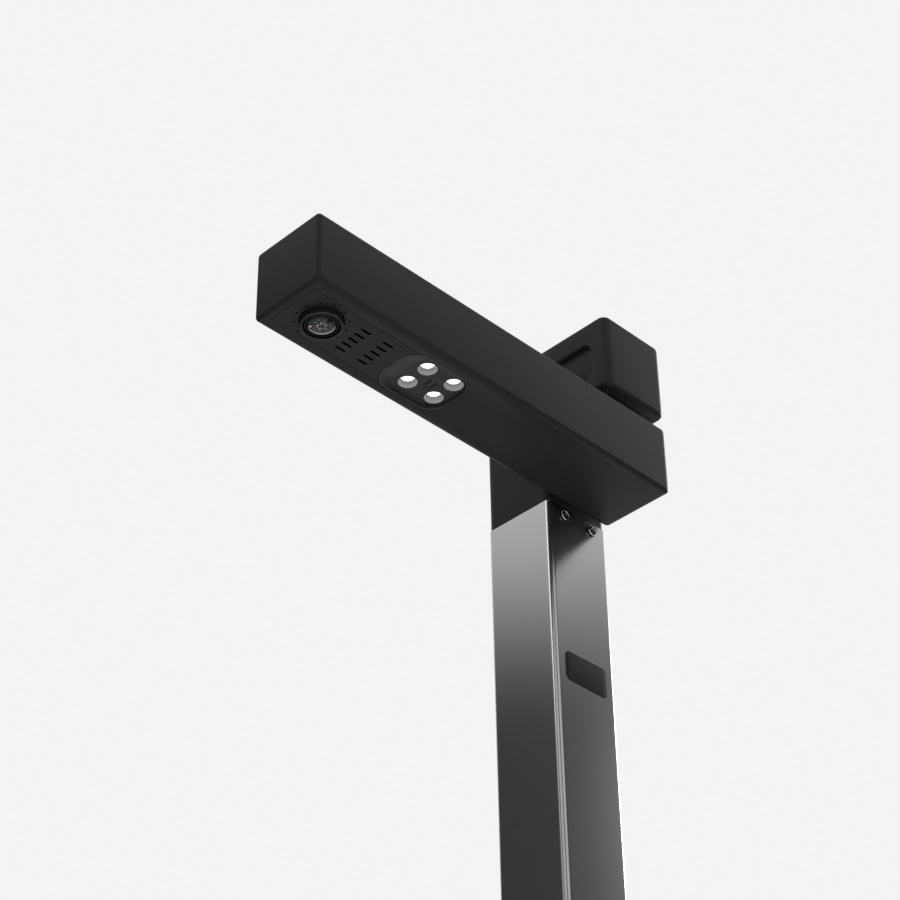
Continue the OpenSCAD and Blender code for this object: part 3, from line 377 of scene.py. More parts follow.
# A lighter plastic for the tray's lip and the cups' bezels: a painted highlight
painted_lip_highlight = moulded_plastic("painted_lip_highlight", shade(CHARCOAL, 2.4), 0.35,
                           grain=0.3 * MM, depth=0.002 * MM, specular=0.2)
tray_plastic = moulded_plastic("tray_plastic", shade(CHARCOAL, 1.3), 0.4,
                               grain=0.3 * MM, depth=0.004 * MM, specular=0.15)
cup_white = cup_reflector("reflector_white", lamps_low.z, fade=2.2)
pad_matt = moulded_plastic("pad_matt", (0.021, 0.021, 0.0215), 0.65,
                           grain=0.25 * MM, depth=0.004 * MM, specular=0.05)
button_plastic = moulded_plastic("button_plastic", shade(CHARCOAL, 0.8), 0.42,
                                 grain=0.2 * MM, depth=0.004 * MM, specular=0.15)
satin_aluminium = satin_metal("satin_aluminium", ALUMINIUM, 0.24,
                              streaks=2500, depth=0.00003 * MM, spread=0.02, vary=0.03)
plated = satin_metal("plated_steel", (0.42, 0.42, 0.43), 0.3, brush=(1, 0.05, 1), streaks=700)
screw_steel = satin_metal("screw_steel", (0.85, 0.85, 0.86), 0.3)
bronze = satin_metal("sintered_bronze", (0.42, 0.27, 0.12), 0.42, brush=(0.1, 1, 1), streaks=900)
casting = cast_metal("cast_aluminium", (0.42, 0.42, 0.425), 0.42)
cast_iron = cast_metal("cast_iron", (0.09, 0.09, 0.095), 0.6)
nylon = moulded_plastic("white_nylon", (0.62, 0.6, 0.54), 0.45, grain=0.2 * MM)
barrel = turned_metal("lens_barrel", (0.012, 0.012, 0.0125), 0.4, lens_spot)
ring_metal = turned_metal("lens_ring_metal", (0.006, 0.006, 0.0065), 0.6, lens_spot, specular=0.04)
# A lighter metal for the lens rims' outer edges: a painted highlight
edge_glint = satin_metal("edge_glint", (0.07, 0.07, 0.073), 0.3, streaks=900)
front_glass = lens_elements_and_reflections("coated_glass", lens_spot)
inner_glass = coated_glass("inner_glass", (0.5, 0.86, 0.8), 0.02)
board = circuit_board("circuit_board", (0.012, 0.07, 0.035))
rubber = soft_rubber("sole_rubber", (0.013, 0.013, 0.0135))
glow = lamp_light("lamp_glow", (1.0, 1.0, 1.0), 1.5)

# CAD nodes that are kept as they are, and what each is made of
NODE_FINISHES = [
    (charcoal, ["elbow_housing", "cap_floor"]),
    (trim, ["lens_holder", "image_sensor"]),
    (board, ["camera_board", "lamp_board", "processor_board", "key_board", "main_board"]),
    (satin_aluminium, ["lamp_heatsink"]),
    (plated, ["head_chassis", "hinge_shaft", "disc_springs", "hinge_nut", "cap_bracket",
              "base_plate", "usb_port"]),
    (casting, ["hinge_carrier", "elbow_core", "column_foot"]),
    (screw_steel, ["carrier_screws", "cap_screws", "foot_screws", "base_screws"]),
    (bronze, ["hinge_bushes", "friction_washer"]),
    (nylon, ["thrust_washer"]),
    (rubber, ["rubber_sole"]),
    (cast_iron, ["ballast_block"]),
    (inner_glass, ["inner_lens"]),
]
for finish, names in NODE_FINISHES:
    for name in names:
        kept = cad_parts[name].data
        kept.materials.clear()
        kept.materials.append(finish)


def middle_of(low, high):
    return (low + high) / 2


def quarter(steps):
    """Angles of a quarter turn in even steps."""
    return [math.pi / 2 * k / steps for k in range(steps + 1)]


# Outlines: each is a function of grow, by which it is widened, and gives its points in order
def arc(centre, radius, start, end, steps):
    angles = [math.radians(start + (end - start) * k / steps) for k in range(steps + 1)]
    return [(centre[0] + radius * math.cos(a), centre[1] + radius * math.sin(a)) for a in angles]


def rounded(width, length, radius, steps=8, least=0.0):
    """A rounded rectangle whose corner radius follows grow, but never under the least radius."""
    def outline(grow=0.0):
        r = max(radius + grow, least)
        a, b = width / 2 + grow - r, length / 2 + grow - r
        corners = ((a, b, 0), (-a, b, 90), (-a, -b, 180), (a, -b, 270))
        points = [p for x, y, turn in corners for p in arc((x, y), r, turn, turn + 90, steps)]
        return [p for p, q in zip(points, points[1:] + points[:1]) if math.dist(p, q) > SAME_POINT]
    return outline


def circle(diameter, steps=48):
    def outline(grow=0.0):
        return arc((0, 0), diameter / 2 + grow, 0, 360 - 360 / steps, steps - 1)
    return outline


def with_seam(outline):
    """The opening for a piece with this outline, wider by the seam all round."""
    return lambda grow=0.0: outline(grow + SEAM)


def place(x, y, z, facing="bottom"):
    """A place on a side of the object, whose third coordinate, the depth, runs into the piece."""
    turns = {"bottom": (0, "X"), "top": (180, "X"), "front": (-90, "X"), "rear": (90, "X"),
             "right": (-90, "Y"), "left": (90, "Y")}
    degrees, axis = turns[facing]
    return Matrix.Translation((x, y, z)) @ Matrix.Rotation(math.radians(degrees), 4, axis)


def convex(radius, depth, steps=4):
    """Steps of a hole's wall, as (grow, depth), whose first edge is rounded."""
    edge = [(radius * (1 - math.sin(a)), radius * (1 - math.cos(a))) for a in quarter(steps)]
    return edge + [(0, depth)]


def brim(radius, depth, steps):
    """The same for the outside of a plate."""
    return [(-grow, sink) for grow, sink in convex(radius, depth, steps)]


def arc_edge(radius, depth, soft, steps=5):
    """Part of a turned profile, as (radius, depth), that rounds an outer edge from face to side."""
    return [(radius - soft + soft * math.sin(a), depth + soft - soft * math.cos(a))
            for a in quarter(steps)]


# Mesh helpers
def block(bm, low, high):
    shape = Matrix.Translation(middle_of(low, high)) @ Matrix.Diagonal((*(high - low), 1))
    bmesh.ops.create_cube(bm, size=1, matrix=shape)


def on_plane(part, axis, value):
    return all(abs(v.co[axis] - value) < ON_PLANE for v in part.verts)


def flat_face(bm, axis, value):
    """The largest face on a plane across an axis."""
    faces = [f for f in bm.faces if on_plane(f, axis, value)]
    return max(faces, key=lambda f: f.calc_area())


def ring(bm, points):
    verts = [bm.verts.new(p) for p in points]
    return [bm.edges.new(pair) for pair in zip(verts, verts[1:] + verts[:1])]


def wall(bm, outline, where, steps):
    """Faces along an outline through steps of (grow, depth); returns the first and last ring."""
    rings = [ring(bm, [where @ Vector((x, y, depth)) for x, y in outline(grow)])
             for grow, depth in steps]
    for first, second in zip(rings, rings[1:]):
        bmesh.ops.bridge_loops(bm, edges=first + second)
    return rings[0], rings[-1]


def soft_block(bm, low, high, along, side_radius, end_radii, steps=8, least=0.0):
    """A block with rounded edges along one axis and its own edge radius at each of the two ends."""
    size = high - low
    spot = middle_of(low, high)
    spot[along] = low[along]
    width, length = ((size.z, size.y), (size.x, size.z), (size.x, size.y))[along]
    near, far = (brim(radius, radius, steps)[:-1] if radius else [(0, 0)] for radius in end_radii)
    profile = near + [(grow, size[along] - sink) for grow, sink in reversed(far)]
    where = place(*spot, ("left", "front", "bottom")[along])
    for end in wall(bm, rounded(width, length, side_radius, steps, least), where, profile):
        bmesh.ops.edgeloop_fill(bm, edges=end)


def fill(bm, *rings):
    """A flat face between closed rings of edges."""
    bmesh.ops.triangle_fill(bm, use_beauty=True, edges=[e for r in rings for e in r])


def pierce(bm, outer, inner, openings):
    """Opens both skins of a wall along the same openings and lines them."""
    rims = [wall(bm, *opening) for opening in openings]
    for face, side in ((outer, 0), (inner, 1)):
        border = list(face.edges)
        bmesh.ops.delete(bm, geom=[face], context="FACES_ONLY")
        fill(bm, border, *[rim[side] for rim in rims])


def plate(bm, where, outline, steps, holes=()):
    """A plate with a shaped edge and holes; each hole is (outline, place, steps)."""
    rims = [wall(bm, outline, where, steps)] + [wall(bm, *hole) for hole in holes]
    for side in (0, 1):
        fill(bm, *[rim[side] for rim in rims])


def turned(bm, where, profile, steps, closed=True):
    """A full turn of a profile of (radius, depth) points round the place's third axis."""
    verts = [bm.verts.new(where @ Vector((radius, 0, depth))) for radius, depth in profile]
    pairs = list(zip(verts, verts[1:] + verts[:1])) if closed else list(zip(verts, verts[1:]))
    edges = [bm.edges.new(pair) for pair in pairs]
    bmesh.ops.spin(bm, geom=verts + edges, cent=where.translation, axis=where.col[2].to_3d(),
                   angle=math.tau, steps=steps, use_merge=True)


def mark(bm, index, chosen):
    """Gives the chosen faces another of the piece's finishes."""
    for face in bm.faces:
        if chosen(face.calc_center_median()):
            face.material_index = index


def mesh_from(name, bm, *finishes):
    mesh = bpy.data.meshes.new(name)
    bm.to_mesh(mesh)
    bm.free()
    for finish in finishes:
        mesh.materials.append(finish)
    return mesh


def into_scene(name, data):
    made = bpy.data.objects.new(name, data)
    bpy.context.scene.collection.objects.link(made)
    return made


def piece(name, bm, finish, body, replaces, sharp=35, others=()):
    """Closes a piece's mesh and puts it on its body and in place of its CAD nodes."""
    bmesh.ops.remove_doubles(bm, verts=bm.verts, dist=SAME_POINT)
    bmesh.ops.recalc_face_normals(bm, faces=bm.faces)
    mesh = mesh_from(name, bm, finish, *others)
    mesh.shade_smooth()
    mesh.set_sharp_from_angle(angle=math.radians(sharp))
    obj = into_scene(name, mesh)
    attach(obj, body)
    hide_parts(*replaces)


# Outline of the belly panel, the lamp tray and both together, counted from the head's front end
PANEL_HALF = 15 * MM
PANEL_START = 4.6 * MM
TRAY_MARGIN = 1.5 * MM
TRAY_HALF = (tray_high.x - tray_low.x) / 2 - TRAY_MARGIN
TRAY_START = tray_low.y + TRAY_MARGIN - head_low.y
TRAY_END = tray_high.y - TRAY_MARGIN - head_low.y
TRAY_CORNER = 11 * MM


def tray_corner(grow):
    """Centre and radius of the tray's front corner on the right."""
    return TRAY_HALF - TRAY_CORNER, TRAY_START + TRAY_CORNER, TRAY_CORNER + grow


def belly_opening(grow=0.0):
    """The head's opening round the panel and the tray together."""
    grow = grow + SEAM
    half = PANEL_HALF + grow
    x, y, radius = tray_corner(grow)
    meet = math.degrees(math.acos((half - x) / radius))
    rear = TRAY_END - TRAY_CORNER
    points = [(-half, PANEL_START - grow), (half, PANEL_START - grow)]
    points += arc((x, y), radius, -meet, 0, 6)
    points += arc((x, rear), radius, 0, 90, 12)
    points += arc((-x, rear), radius, 90, 180, 12)
    points += arc((-x, y), radius, 180, 180 + meet, 6)
    return points


def belly_panel_outline(grow=0.0):
    """The panel alone, whose rear edge follows the tray's front corners."""
    half = PANEL_HALF + grow
    x, y, radius = tray_corner(SEAM - grow)
    meet = math.degrees(math.acos((half - x) / radius))
    points = [(-half, PANEL_START - grow), (half, PANEL_START - grow)]
    points += arc((x, y), radius, -meet, -90, 10)
    points += arc((-x, y), radius, -90, -180 + meet, 10)
    return points


# Head housing, open below for the panel and the tray, above for the lid and beside the hinge
LID_CORNER = 3 * MM
HINGE_BORE_D, HINGE_BORE_EDGE = 18.2 * MM, 0.4 * MM
CARRIER_SCREW_D, CARRIER_SCREW_EDGE, CARRIER_SCREW_IN = 3.2 * MM, 0.2 * MM, 5 * MM
underside = Matrix.Translation((head_middle, head_low.y, head_low.z))
head_wall = Vector((WALL,) * 3)
hinge = middle_of(shaft_low, shaft_high)
lid_size = lid_high - lid_low
lid_middle = middle_of(lid_low, lid_high)
lid_outline = rounded(lid_size.x, lid_size.y, LID_CORNER)
lid_place = place(lid_middle.x, lid_middle.y, head_high.z, "top")
seam_steps = convex(SEAM_EDGE, WALL, 2)
bm = bmesh.new()
soft_block(bm, head_low, head_high, 1, SIDE_RADIUS, (FRONT_RADIUS, REAR_RADIUS),
           least=LEAST_SIDE_RADIUS)
block(bm, head_low + head_wall, head_high - head_wall)
pierce(bm, flat_face(bm, 2, head_low.z), flat_face(bm, 2, head_low.z + WALL),
       [(belly_opening, underside, seam_steps)])
pierce(bm, flat_face(bm, 2, head_high.z), flat_face(bm, 2, head_high.z - WALL),
       [(with_seam(lid_outline), lid_place, seam_steps)])
hinge_place = place(head_low.x, hinge.y, hinge.z, "left")
reach = (head_high.z - head_low.z) / 2 - WALL - CARRIER_SCREW_IN
screw_places = [place(head_low.x, hinge.y + a * reach, hinge.z + b * reach, "left")
                for a in (-1, 1) for b in (-1, 1)]
screw_steps = convex(CARRIER_SCREW_EDGE, WALL, 2)
pierce(bm, flat_face(bm, 0, head_low.x), flat_face(bm, 0, head_low.x + WALL),
       [(circle(HINGE_BORE_D), hinge_place, convex(HINGE_BORE_EDGE, WALL))]
       + [(circle(CARRIER_SCREW_D, 20), where, screw_steps) for where in screw_places])
piece("head_housing", bm, charcoal, "head", ["head_shell"])

bm = bmesh.new()
plate(bm, lid_place, lid_outline, brim(SEAM_EDGE, WALL, 2))
piece("head_lid", bm, charcoal, "head", ["head_top_cover"])

# Belly panel with its lens bore, pinholes and vents
BORE_D, BORE_EDGE, BORE_DEPTH, BORE_SLEEVE = 21.7 * MM, 0.3 * MM, 4 * MM, 1.1 * MM
PINHOLE_COUNT, PINHOLE_RADIUS, PINHOLE_D = 12, 13.3 * MM, 1.25 * MM
VENT_START, VENT_ROW, VENT_ROWS, VENT_PITCH, VENT_COUNT = 43.3 * MM, 14.45 * MM, 2, 4.5 * MM, 5
VENT_WIDTH, VENT_LENGTH, VENT_END, VENT_EDGE = 1.45 * MM, 6.4 * MM, 0.724 * MM, 0.06 * MM
vent = rounded(VENT_WIDTH, VENT_LENGTH, VENT_END, 5)
bore_steps = convex(BORE_EDGE, BORE_DEPTH) + [(BORE_SLEEVE, BORE_DEPTH), (BORE_SLEEVE, WALL)]
holes = [(circle(BORE_D, 96), lens_place, bore_steps)]
for k in range(PINHOLE_COUNT):
    turn = Matrix.Rotation(math.radians(360 / PINHOLE_COUNT * (k + 0.5)), 4, "Z")
    spot = lens_place @ turn @ Matrix.Translation((PINHOLE_RADIUS, 0, 0))
    holes.append((circle(PINHOLE_D, 16), spot, convex(HAIR, WALL, 2)))
for row in range(VENT_ROWS):
    for k in range(VENT_COUNT):
        across = (k - (VENT_COUNT - 1) / 2) * VENT_PITCH
        spot = underside @ Matrix.Translation((across, VENT_START + row * VENT_ROW, 0))
        holes.append((vent, spot, convex(VENT_EDGE, WALL, 2)))
bm = bmesh.new()
plate(bm, underside, belly_panel_outline, brim(SEAM_EDGE, WALL, 2), holes)
# Faces deeper than the bore's edge, in the bore, pinholes and vents, are painted black as painted
# shade
mark(bm, 1, lambda spot: spot.z > head_low.z + BORE_EDGE)
piece("belly_panel", bm, charcoal, "head", ["belly_cover"], sharp=20, others=[painted_shade_black])


# Lens: collar, front ring, glass and iris, with depth counted up from the head's underside
def lens_radius(spot):
    return math.hypot(spot.x - head_middle, spot.y - lens_y)


RIM_OUT, RIM_IN, RIM_ROUND, RIM_CHAMFER = 10.5 * MM, 9.1 * MM, 0.35 * MM, 0.2 * MM
RIM_GLINT = 0.34 * MM
BARREL_R, FLANGE, LEDGE = 7.6 * MM, 1.2 * MM, 2.5 * MM
collar_r = (collar_high.x - collar_low.x) / 2
front = collar_low.z - head_low.z
back = collar_high.z - head_low.z
ledge = front + LEDGE
collar_profile = [(RIM_IN, front + RIM_CHAMFER), (RIM_IN + RIM_CHAMFER, front)]
collar_profile += arc_edge(RIM_OUT, front, RIM_ROUND)
collar_profile += [(RIM_OUT, back - FLANGE), (collar_r, back - FLANGE), (collar_r, back),
                   (BARREL_R, back), (BARREL_R, ledge), (RIM_IN, ledge)]
bm = bmesh.new()
turned(bm, lens_place, collar_profile, 128)
# The rim's outer edge gets a lighter metal as a painted highlight, and the inner wall is painted
# black as painted shade
mark(bm, 1, lambda spot: lens_radius(spot) > RIM_OUT - RIM_GLINT
     and spot.z < head_low.z + front + RIM_GLINT)
mark(bm, 2, lambda spot: lens_radius(spot) < RIM_IN + HAIR)
piece("lens_collar_ring", bm, barrel, "head", ["lens_collar"], 30,
      [edge_glint, painted_shade_black])

DOME_R, DOME_STEPS, GLASS_CHAMFER, GLASS_EDGE = 28 * MM, 14, 0.15 * MM, 0.12 * MM
RING_OUT, RING_ROUND, RING_LIP = 8.3 * MM, 0.16 * MM, 0.3 * MM
RING_SINK, RING_THICK, RING_GLINT, CONE_START = 0.5 * MM, 2 * MM, 0.22 * MM, 0.2 * MM
glass_r = (glass_high.x - glass_low.x) / 2
sag = DOME_R - math.sqrt(DOME_R ** 2 - glass_r ** 2)
apex = glass_low.z - head_low.z
seat_r = glass_r + HAIR
ring_front = front + RING_SINK
ring_back = ring_front + RING_THICK
cone_end = apex + sag - 0.1 * MM
ring_profile = [(RING_OUT - RING_ROUND, ring_front), (RING_OUT - HAIR, ring_front + 0.04 * MM),
                (RING_OUT, ring_front + RING_ROUND), (RING_OUT, ring_back), (seat_r, ring_back),
                (seat_r, cone_end + GLASS_EDGE), (glass_r + GLASS_CHAMFER, cone_end),
                (RING_OUT - RING_LIP, ring_front + 0.02 * MM)]
bm = bmesh.new()
turned(bm, lens_place, ring_profile, 128)
# The ring's outer edge gets a lighter metal as a painted highlight, and its inner cone is painted
# black as painted shade
mark(bm, 1, lambda spot: lens_radius(spot) > RING_OUT - RING_GLINT
     and spot.z < head_low.z + ring_front + 0.1 * MM)
mark(bm, 2, lambda spot: spot.z > head_low.z + ring_front + CONE_START)
piece("lens_front_ring", bm, ring_metal, "head", ["lens_ring"], 30,
      [edge_glint, painted_shade_black])

glass_back = glass_high.z - head_low.z
dome_angle = math.asin((glass_r - GLASS_CHAMFER) / DOME_R)
dome = [(DOME_R * math.sin(a), apex + DOME_R - DOME_R * math.cos(a))
        for a in (dome_angle * k / DOME_STEPS for k in range(DOME_STEPS + 1))]
glass_profile = dome + [(glass_r, apex + sag + GLASS_EDGE), (glass_r, glass_back), (0, glass_back)]
bm = bmesh.new()
turned(bm, lens_place, glass_profile, 96, closed=False)
piece("lens_glass_dome", bm, front_glass, "head", ["front_glass"], 30)

IRIS_HOLE, IRIS_PLATE, IRIS_STEPS, IRIS_TREAD = 2.6 * MM, 1 * MM, 4, 0.85
iris_r = (iris_high.x - iris_low.x) / 2
iris_front = iris_low.z - head_low.z
iris_back = iris_high.z - head_low.z
iris_width = iris_r - IRIS_HOLE
iris_profile = []
for k in range(IRIS_STEPS):
    r = iris_r - iris_width * k / IRIS_STEPS
    z = iris_front + (iris_back - iris_front - IRIS_PLATE) * k / IRIS_STEPS
    iris_profile += [(r, z), (r - IRIS_TREAD * iris_width / IRIS_STEPS, z + 0.1 * MM)]
iris_profile += [(IRIS_HOLE, iris_back - IRIS_PLATE), (IRIS_HOLE, iris_back), (iris_r, iris_back)]
bm = bmesh.new()
turned(bm, lens_place, iris_profile, 96)
piece("lens_iris_steps", bm, ring_metal, "head", ["iris_ring"], 30)

# Lamp tray: a dish with a ramp at its front, holes for four cups and two slots
RIM, DISH, RAMP, SIDE_DRAW = 0.7 * MM, 2 * MM, 10 * MM, 0.9 * MM
DISH_STEPS = 10
TRAY_DEPTH, TRAY_EDGE, TRAY_LIP = 6 * MM, 0.3 * MM, 0.02 * MM
CUP_ACROSS, CUP_ALONG = 7 * MM, 9 * MM
CUP_MOUTH, CUP_END, CUP_HOLE = 9.8 * MM, 7.1 * MM, 10.7 * MM
SLOT_LENGTH, SLOT_WIDTH, SLOT_END = 5 * MM, 0.8 * MM, 0.399 * MM
SLOT_ALONG, SLOT_EDGE = 1.85 * MM, 0.12 * MM
tray_length = TRAY_END - TRAY_START
tray_outline = rounded(2 * TRAY_HALF, tray_length, TRAY_CORNER, 14)
tray_place = underside @ Matrix.Translation((0, TRAY_START + tray_length / 2, 0))
cup_middle = (lamps_low.y + lamps_high.y) / 2
cup_places = [
    Matrix.Translation((head_middle + a * CUP_ACROSS, cup_middle + b * CUP_ALONG, head_low.z))
    for a in (-1, 1) for b in (-1, 1)]


def dish_ring(share, depth):
    """The dish's outline on its way down: the sides draw in a little, the front ramp a lot."""
    side = RIM + SIDE_DRAW * share
    ramp = RIM + RAMP * share
    length = tray_length - side - ramp
    middle = (ramp - side) / 2
    corner = TRAY_CORNER - 0.5 * side - 0.15 * ramp
    flat = rounded(2 * TRAY_HALF - 2 * side, length, corner, 14)
    return [tray_place @ Vector((x, y + middle, depth)) for x, y in flat()]


bm = bmesh.new()
outer_rim, outer_back = wall(bm, tray_outline, tray_place, brim(TRAY_EDGE, TRAY_DEPTH, 3))
rings = [outer_rim]
for k in range(DISH_STEPS + 1):
    share = k / DISH_STEPS
    rings.append(ring(bm, dish_ring(share, DISH * share * share * (3 - 2 * share))))
for first, second in zip(rings, rings[1:]):
    bmesh.ops.bridge_loops(bm, edges=first + second)
tray_holes = [wall(bm, circle(CUP_HOLE, 64), where, [(0, DISH), (0, TRAY_DEPTH)])
              for where in cup_places]
slot_shape = rounded(SLOT_LENGTH, SLOT_WIDTH, SLOT_END, 5)
slot_steps = [(grow, DISH + sink) for grow, sink in convex(SLOT_EDGE, TRAY_DEPTH - DISH, 2)]
for side in (-1, 1):
    where = Matrix.Translation((head_middle, cup_middle + side * SLOT_ALONG, head_low.z))
    tray_holes.append(wall(bm, slot_shape, where, slot_steps))
fill(bm, rings[-1], *[hole[0] for hole in tray_holes])
fill(bm, outer_back, *[hole[1] for hole in tray_holes])
# The lip faces get the lighter plastic, a painted highlight
mark(bm, 1, lambda spot: spot.z < head_low.z + TRAY_LIP)
piece("lamp_tray_dish", bm, tray_plastic, "head", ["lamp_tray"], 40, [painted_lip_highlight])

# Reflector cups: a bezel at the mouth and a curved wall down to the lamp
BEZEL, BEZEL_FLAT, BEZEL_CHAMFER, BEZEL_RISE = 0.42 * MM, 0.12 * MM, 0.14 * MM, 0.16 * MM
CUP_START, CUP_DEPTH, CUP_CURVE, CUP_STEPS = 0.25 * MM, 2.9 * MM, 1.4, 8
mouth_r = CUP_MOUTH / 2
outer_r = mouth_r + BEZEL
cup_wall = [(mouth_r - (CUP_MOUTH - CUP_END) / 2 * t ** CUP_CURVE, DISH + CUP_START + CUP_DEPTH * t)
            for t in (k / CUP_STEPS for k in range(CUP_STEPS + 1))]
cup_profile = [(outer_r, TRAY_DEPTH), (outer_r, DISH), (outer_r - BEZEL_CHAMFER, DISH - BEZEL_RISE),
               (mouth_r + BEZEL_FLAT, DISH - BEZEL_RISE), *cup_wall, (CUP_END / 2, TRAY_DEPTH)]


def on_bezel(spot):
    axes = [where.translation for where in cup_places]
    nearest = min(math.hypot(spot.x - axis.x, spot.y - axis.y) for axis in axes)
    return nearest > mouth_r + HAIR


bm = bmesh.new()
for where in cup_places:
    turned(bm, where, cup_profile, 64)
# The bezels get the lighter plastic, a painted highlight
mark(bm, 1, on_bezel)
piece("lamp_cups", bm, cup_white, "head", [], 50, [painted_lip_highlight])

# Lamps: a low dome over each, in the cup's end
LAMP_R, LAMP_BULGE, LAMP_SINK = 3.4 * MM, 0.5 * MM, 0.2 * MM
lamp_front = lamps_low.z - head_low.z
lamp_back = lamps_high.z - head_low.z
bulge = [(LAMP_R * math.sin(a), lamp_front - LAMP_BULGE * math.cos(a) + LAMP_SINK)
         for a in quarter(8)]
bm = bmesh.new()
for where in cup_places:
    turned(bm, where, bulge + [(LAMP_R, lamp_back), (0, lamp_back)], 48, closed=False)
piece("lamp_domes", bm, glow, "head", ["lamps"], 30)

# Cap: one soft block with a recess in its front and an opening for its floor plate
CAP_RADIUS, CAP_EDGE, CAP_WALL = 4.8 * MM, 2.3 * MM, 2.4 * MM
CAP_FLOOR_MARGIN, CAP_FLOOR_CORNER = 12 * MM, 4.65 * MM
RECESS, RECESS_DROP, RECESS_EDGE = (68.7 * MM, 22.7 * MM, 5.3 * MM), 2 * MM, 1.3 * MM
RECESS_PANEL, RECESS_PANEL_EDGE = (74.7 * MM, 28.7 * MM, 8.3 * MM), 0.3 * MM
cap_middle = middle_of(cap_low, cap_high)
cap_wall = Vector((CAP_WALL,) * 3)
recess_place = place(cap_middle.x, cap_low.y, cap_middle.z - RECESS_DROP, "front")
floor_place = place(cap_middle.x, cap_middle.y, cap_low.z)
floor_size = cap_high - cap_low - Vector((CAP_FLOOR_MARGIN,) * 3)
floor_outline = rounded(floor_size.x, floor_size.y, CAP_FLOOR_CORNER)
bm = bmesh.new()
soft_block(bm, cap_low, cap_high, 2, CAP_RADIUS, (CAP_EDGE, CAP_EDGE), 10)
block(bm, cap_low + cap_wall, cap_high - cap_wall)
pierce(bm, flat_face(bm, 1, cap_low.y), flat_face(bm, 1, cap_low.y + CAP_WALL),
       [(rounded(*RECESS, 12), recess_place, convex(RECESS_EDGE, CAP_WALL, 8))])
pierce(bm, flat_face(bm, 2, cap_low.z), flat_face(bm, 2, cap_low.z + CAP_WALL),
       [(with_seam(floor_outline), floor_place, convex(SEAM_EDGE, CAP_WALL, 2))])
piece("cap_cover", bm, charcoal, "stand", ["cap_shell"])

panel_place = place(cap_middle.x, recess_low.y, cap_middle.z - RECESS_DROP, "front")
bm = bmesh.new()
plate(bm, panel_place, rounded(*RECESS_PANEL),
      brim(RECESS_PANEL_EDGE, recess_high.y - recess_low.y, 2))
piece("cap_recess_panel", bm, charcoal, "stand", ["cap_front_panel"])

# Column: an extruded sleeve with eased ends, and the pad on its side
COLUMN_RADIUS, EASE = 3.4 * MM, 0.35 * MM
PAD_CORNER, PAD_PROUD = 3.6 * MM, 0.12 * MM
column_size = column_high - column_low
column_place = place(column_x, column_y, column_low.z)
column_outline = rounded(column_size.x, column_size.y, COLUMN_RADIUS, 14)
bore_outline = rounded(column_size.x - 2 * WALL, column_size.y - 2 * WALL, COLUMN_RADIUS - WALL, 14)
height = column_high.z - column_low.z
upper_end = [(grow, height - sink) for grow, sink in reversed(brim(EASE, EASE, 3)[:-1])]
bm = bmesh.new()
start, end = wall(bm, column_outline, column_place, brim(EASE, height - EASE, 3) + upper_end)
bore_start, bore_end = wall(bm, bore_outline, column_place,
                            [(EASE, 0), (0, EASE), (0, height - EASE), (EASE, height)])
bmesh.ops.bridge_loops(bm, edges=start + bore_start)
bmesh.ops.bridge_loops(bm, edges=end + bore_end)
piece("column_sleeve", bm, satin_aluminium, "stand", ["column_tube"], 40)

pad_middle = middle_of(pad_low, pad_high)
pad_size = pad_high - pad_low
pad_place = place(pad_low.x + PAD_PROUD, pad_middle.y, pad_middle.z, "right")
bm = bmesh.new()
plate(bm, pad_place, rounded(pad_size.z, pad_size.y, PAD_CORNER), brim(HAIR, PAD_PROUD, 2))
piece("column_side_pad", bm, pad_matt, "stand", ["column_pad"])

# Column screws: a bright rim, a groove and a low head with a cross in it; groove and head face are
# painted black as painted shade
SCREW_R, SCREW_FLAT, GROOVE_OUT, GROOVE_IN = 2.9 * MM, 2.5 * MM, 2.4 * MM, 1.9 * MM
RIM_CORNER, RIM_SIDE, GROOVE_START, GROOVE_DEPTH = 0.15 * MM, 0.25 * MM, 0.15 * MM, 0.6 * MM
CROWN_D, CROWN_EDGE, CROWN_SINK, CROWN_DEPTH = 3.7 * MM, 0.2 * MM, 0.1 * MM, 0.5 * MM
CROSS_ARM, CROSS_HALF, CROSS_EDGE = 1.3 * MM, 0.38 * MM, 0.08 * MM
SCREW_SUNK, GROOVE_SHADE, RIM_START = 0.15 * MM, 0.5 * MM, 2.42 * MM
CROSS_LENGTH, CROSS_WIDTH = 1.4 * MM, 0.47 * MM
screw_z = screws_high.z - SCREW_R


def cross(grow=0.0):
    """A cross of two arms: one corner in each of its four quarter turns."""
    arm, half = CROSS_ARM + grow, CROSS_HALF + grow
    turns = [(1, 0, 0, 1), (0, -1, 1, 0), (-1, 0, 0, -1), (0, 1, -1, 0)]
    return [(a * x + b * y, c * x + d * y) for a, b, c, d in turns
            for x, y in ((arm, half), (half, half), (half, arm))]


def on_screw_face(spot):
    """True on a screw's face inside its rim, apart from the cross."""
    across = min(abs(spot.y - screws_low.y - SCREW_R), abs(spot.y - screws_high.y + SCREW_R))
    along = abs(spot.z - screw_z)
    in_cross = min(across, along) < CROSS_WIDTH and max(across, along) < CROSS_LENGTH
    return math.hypot(across, along) < RIM_START and not in_cross


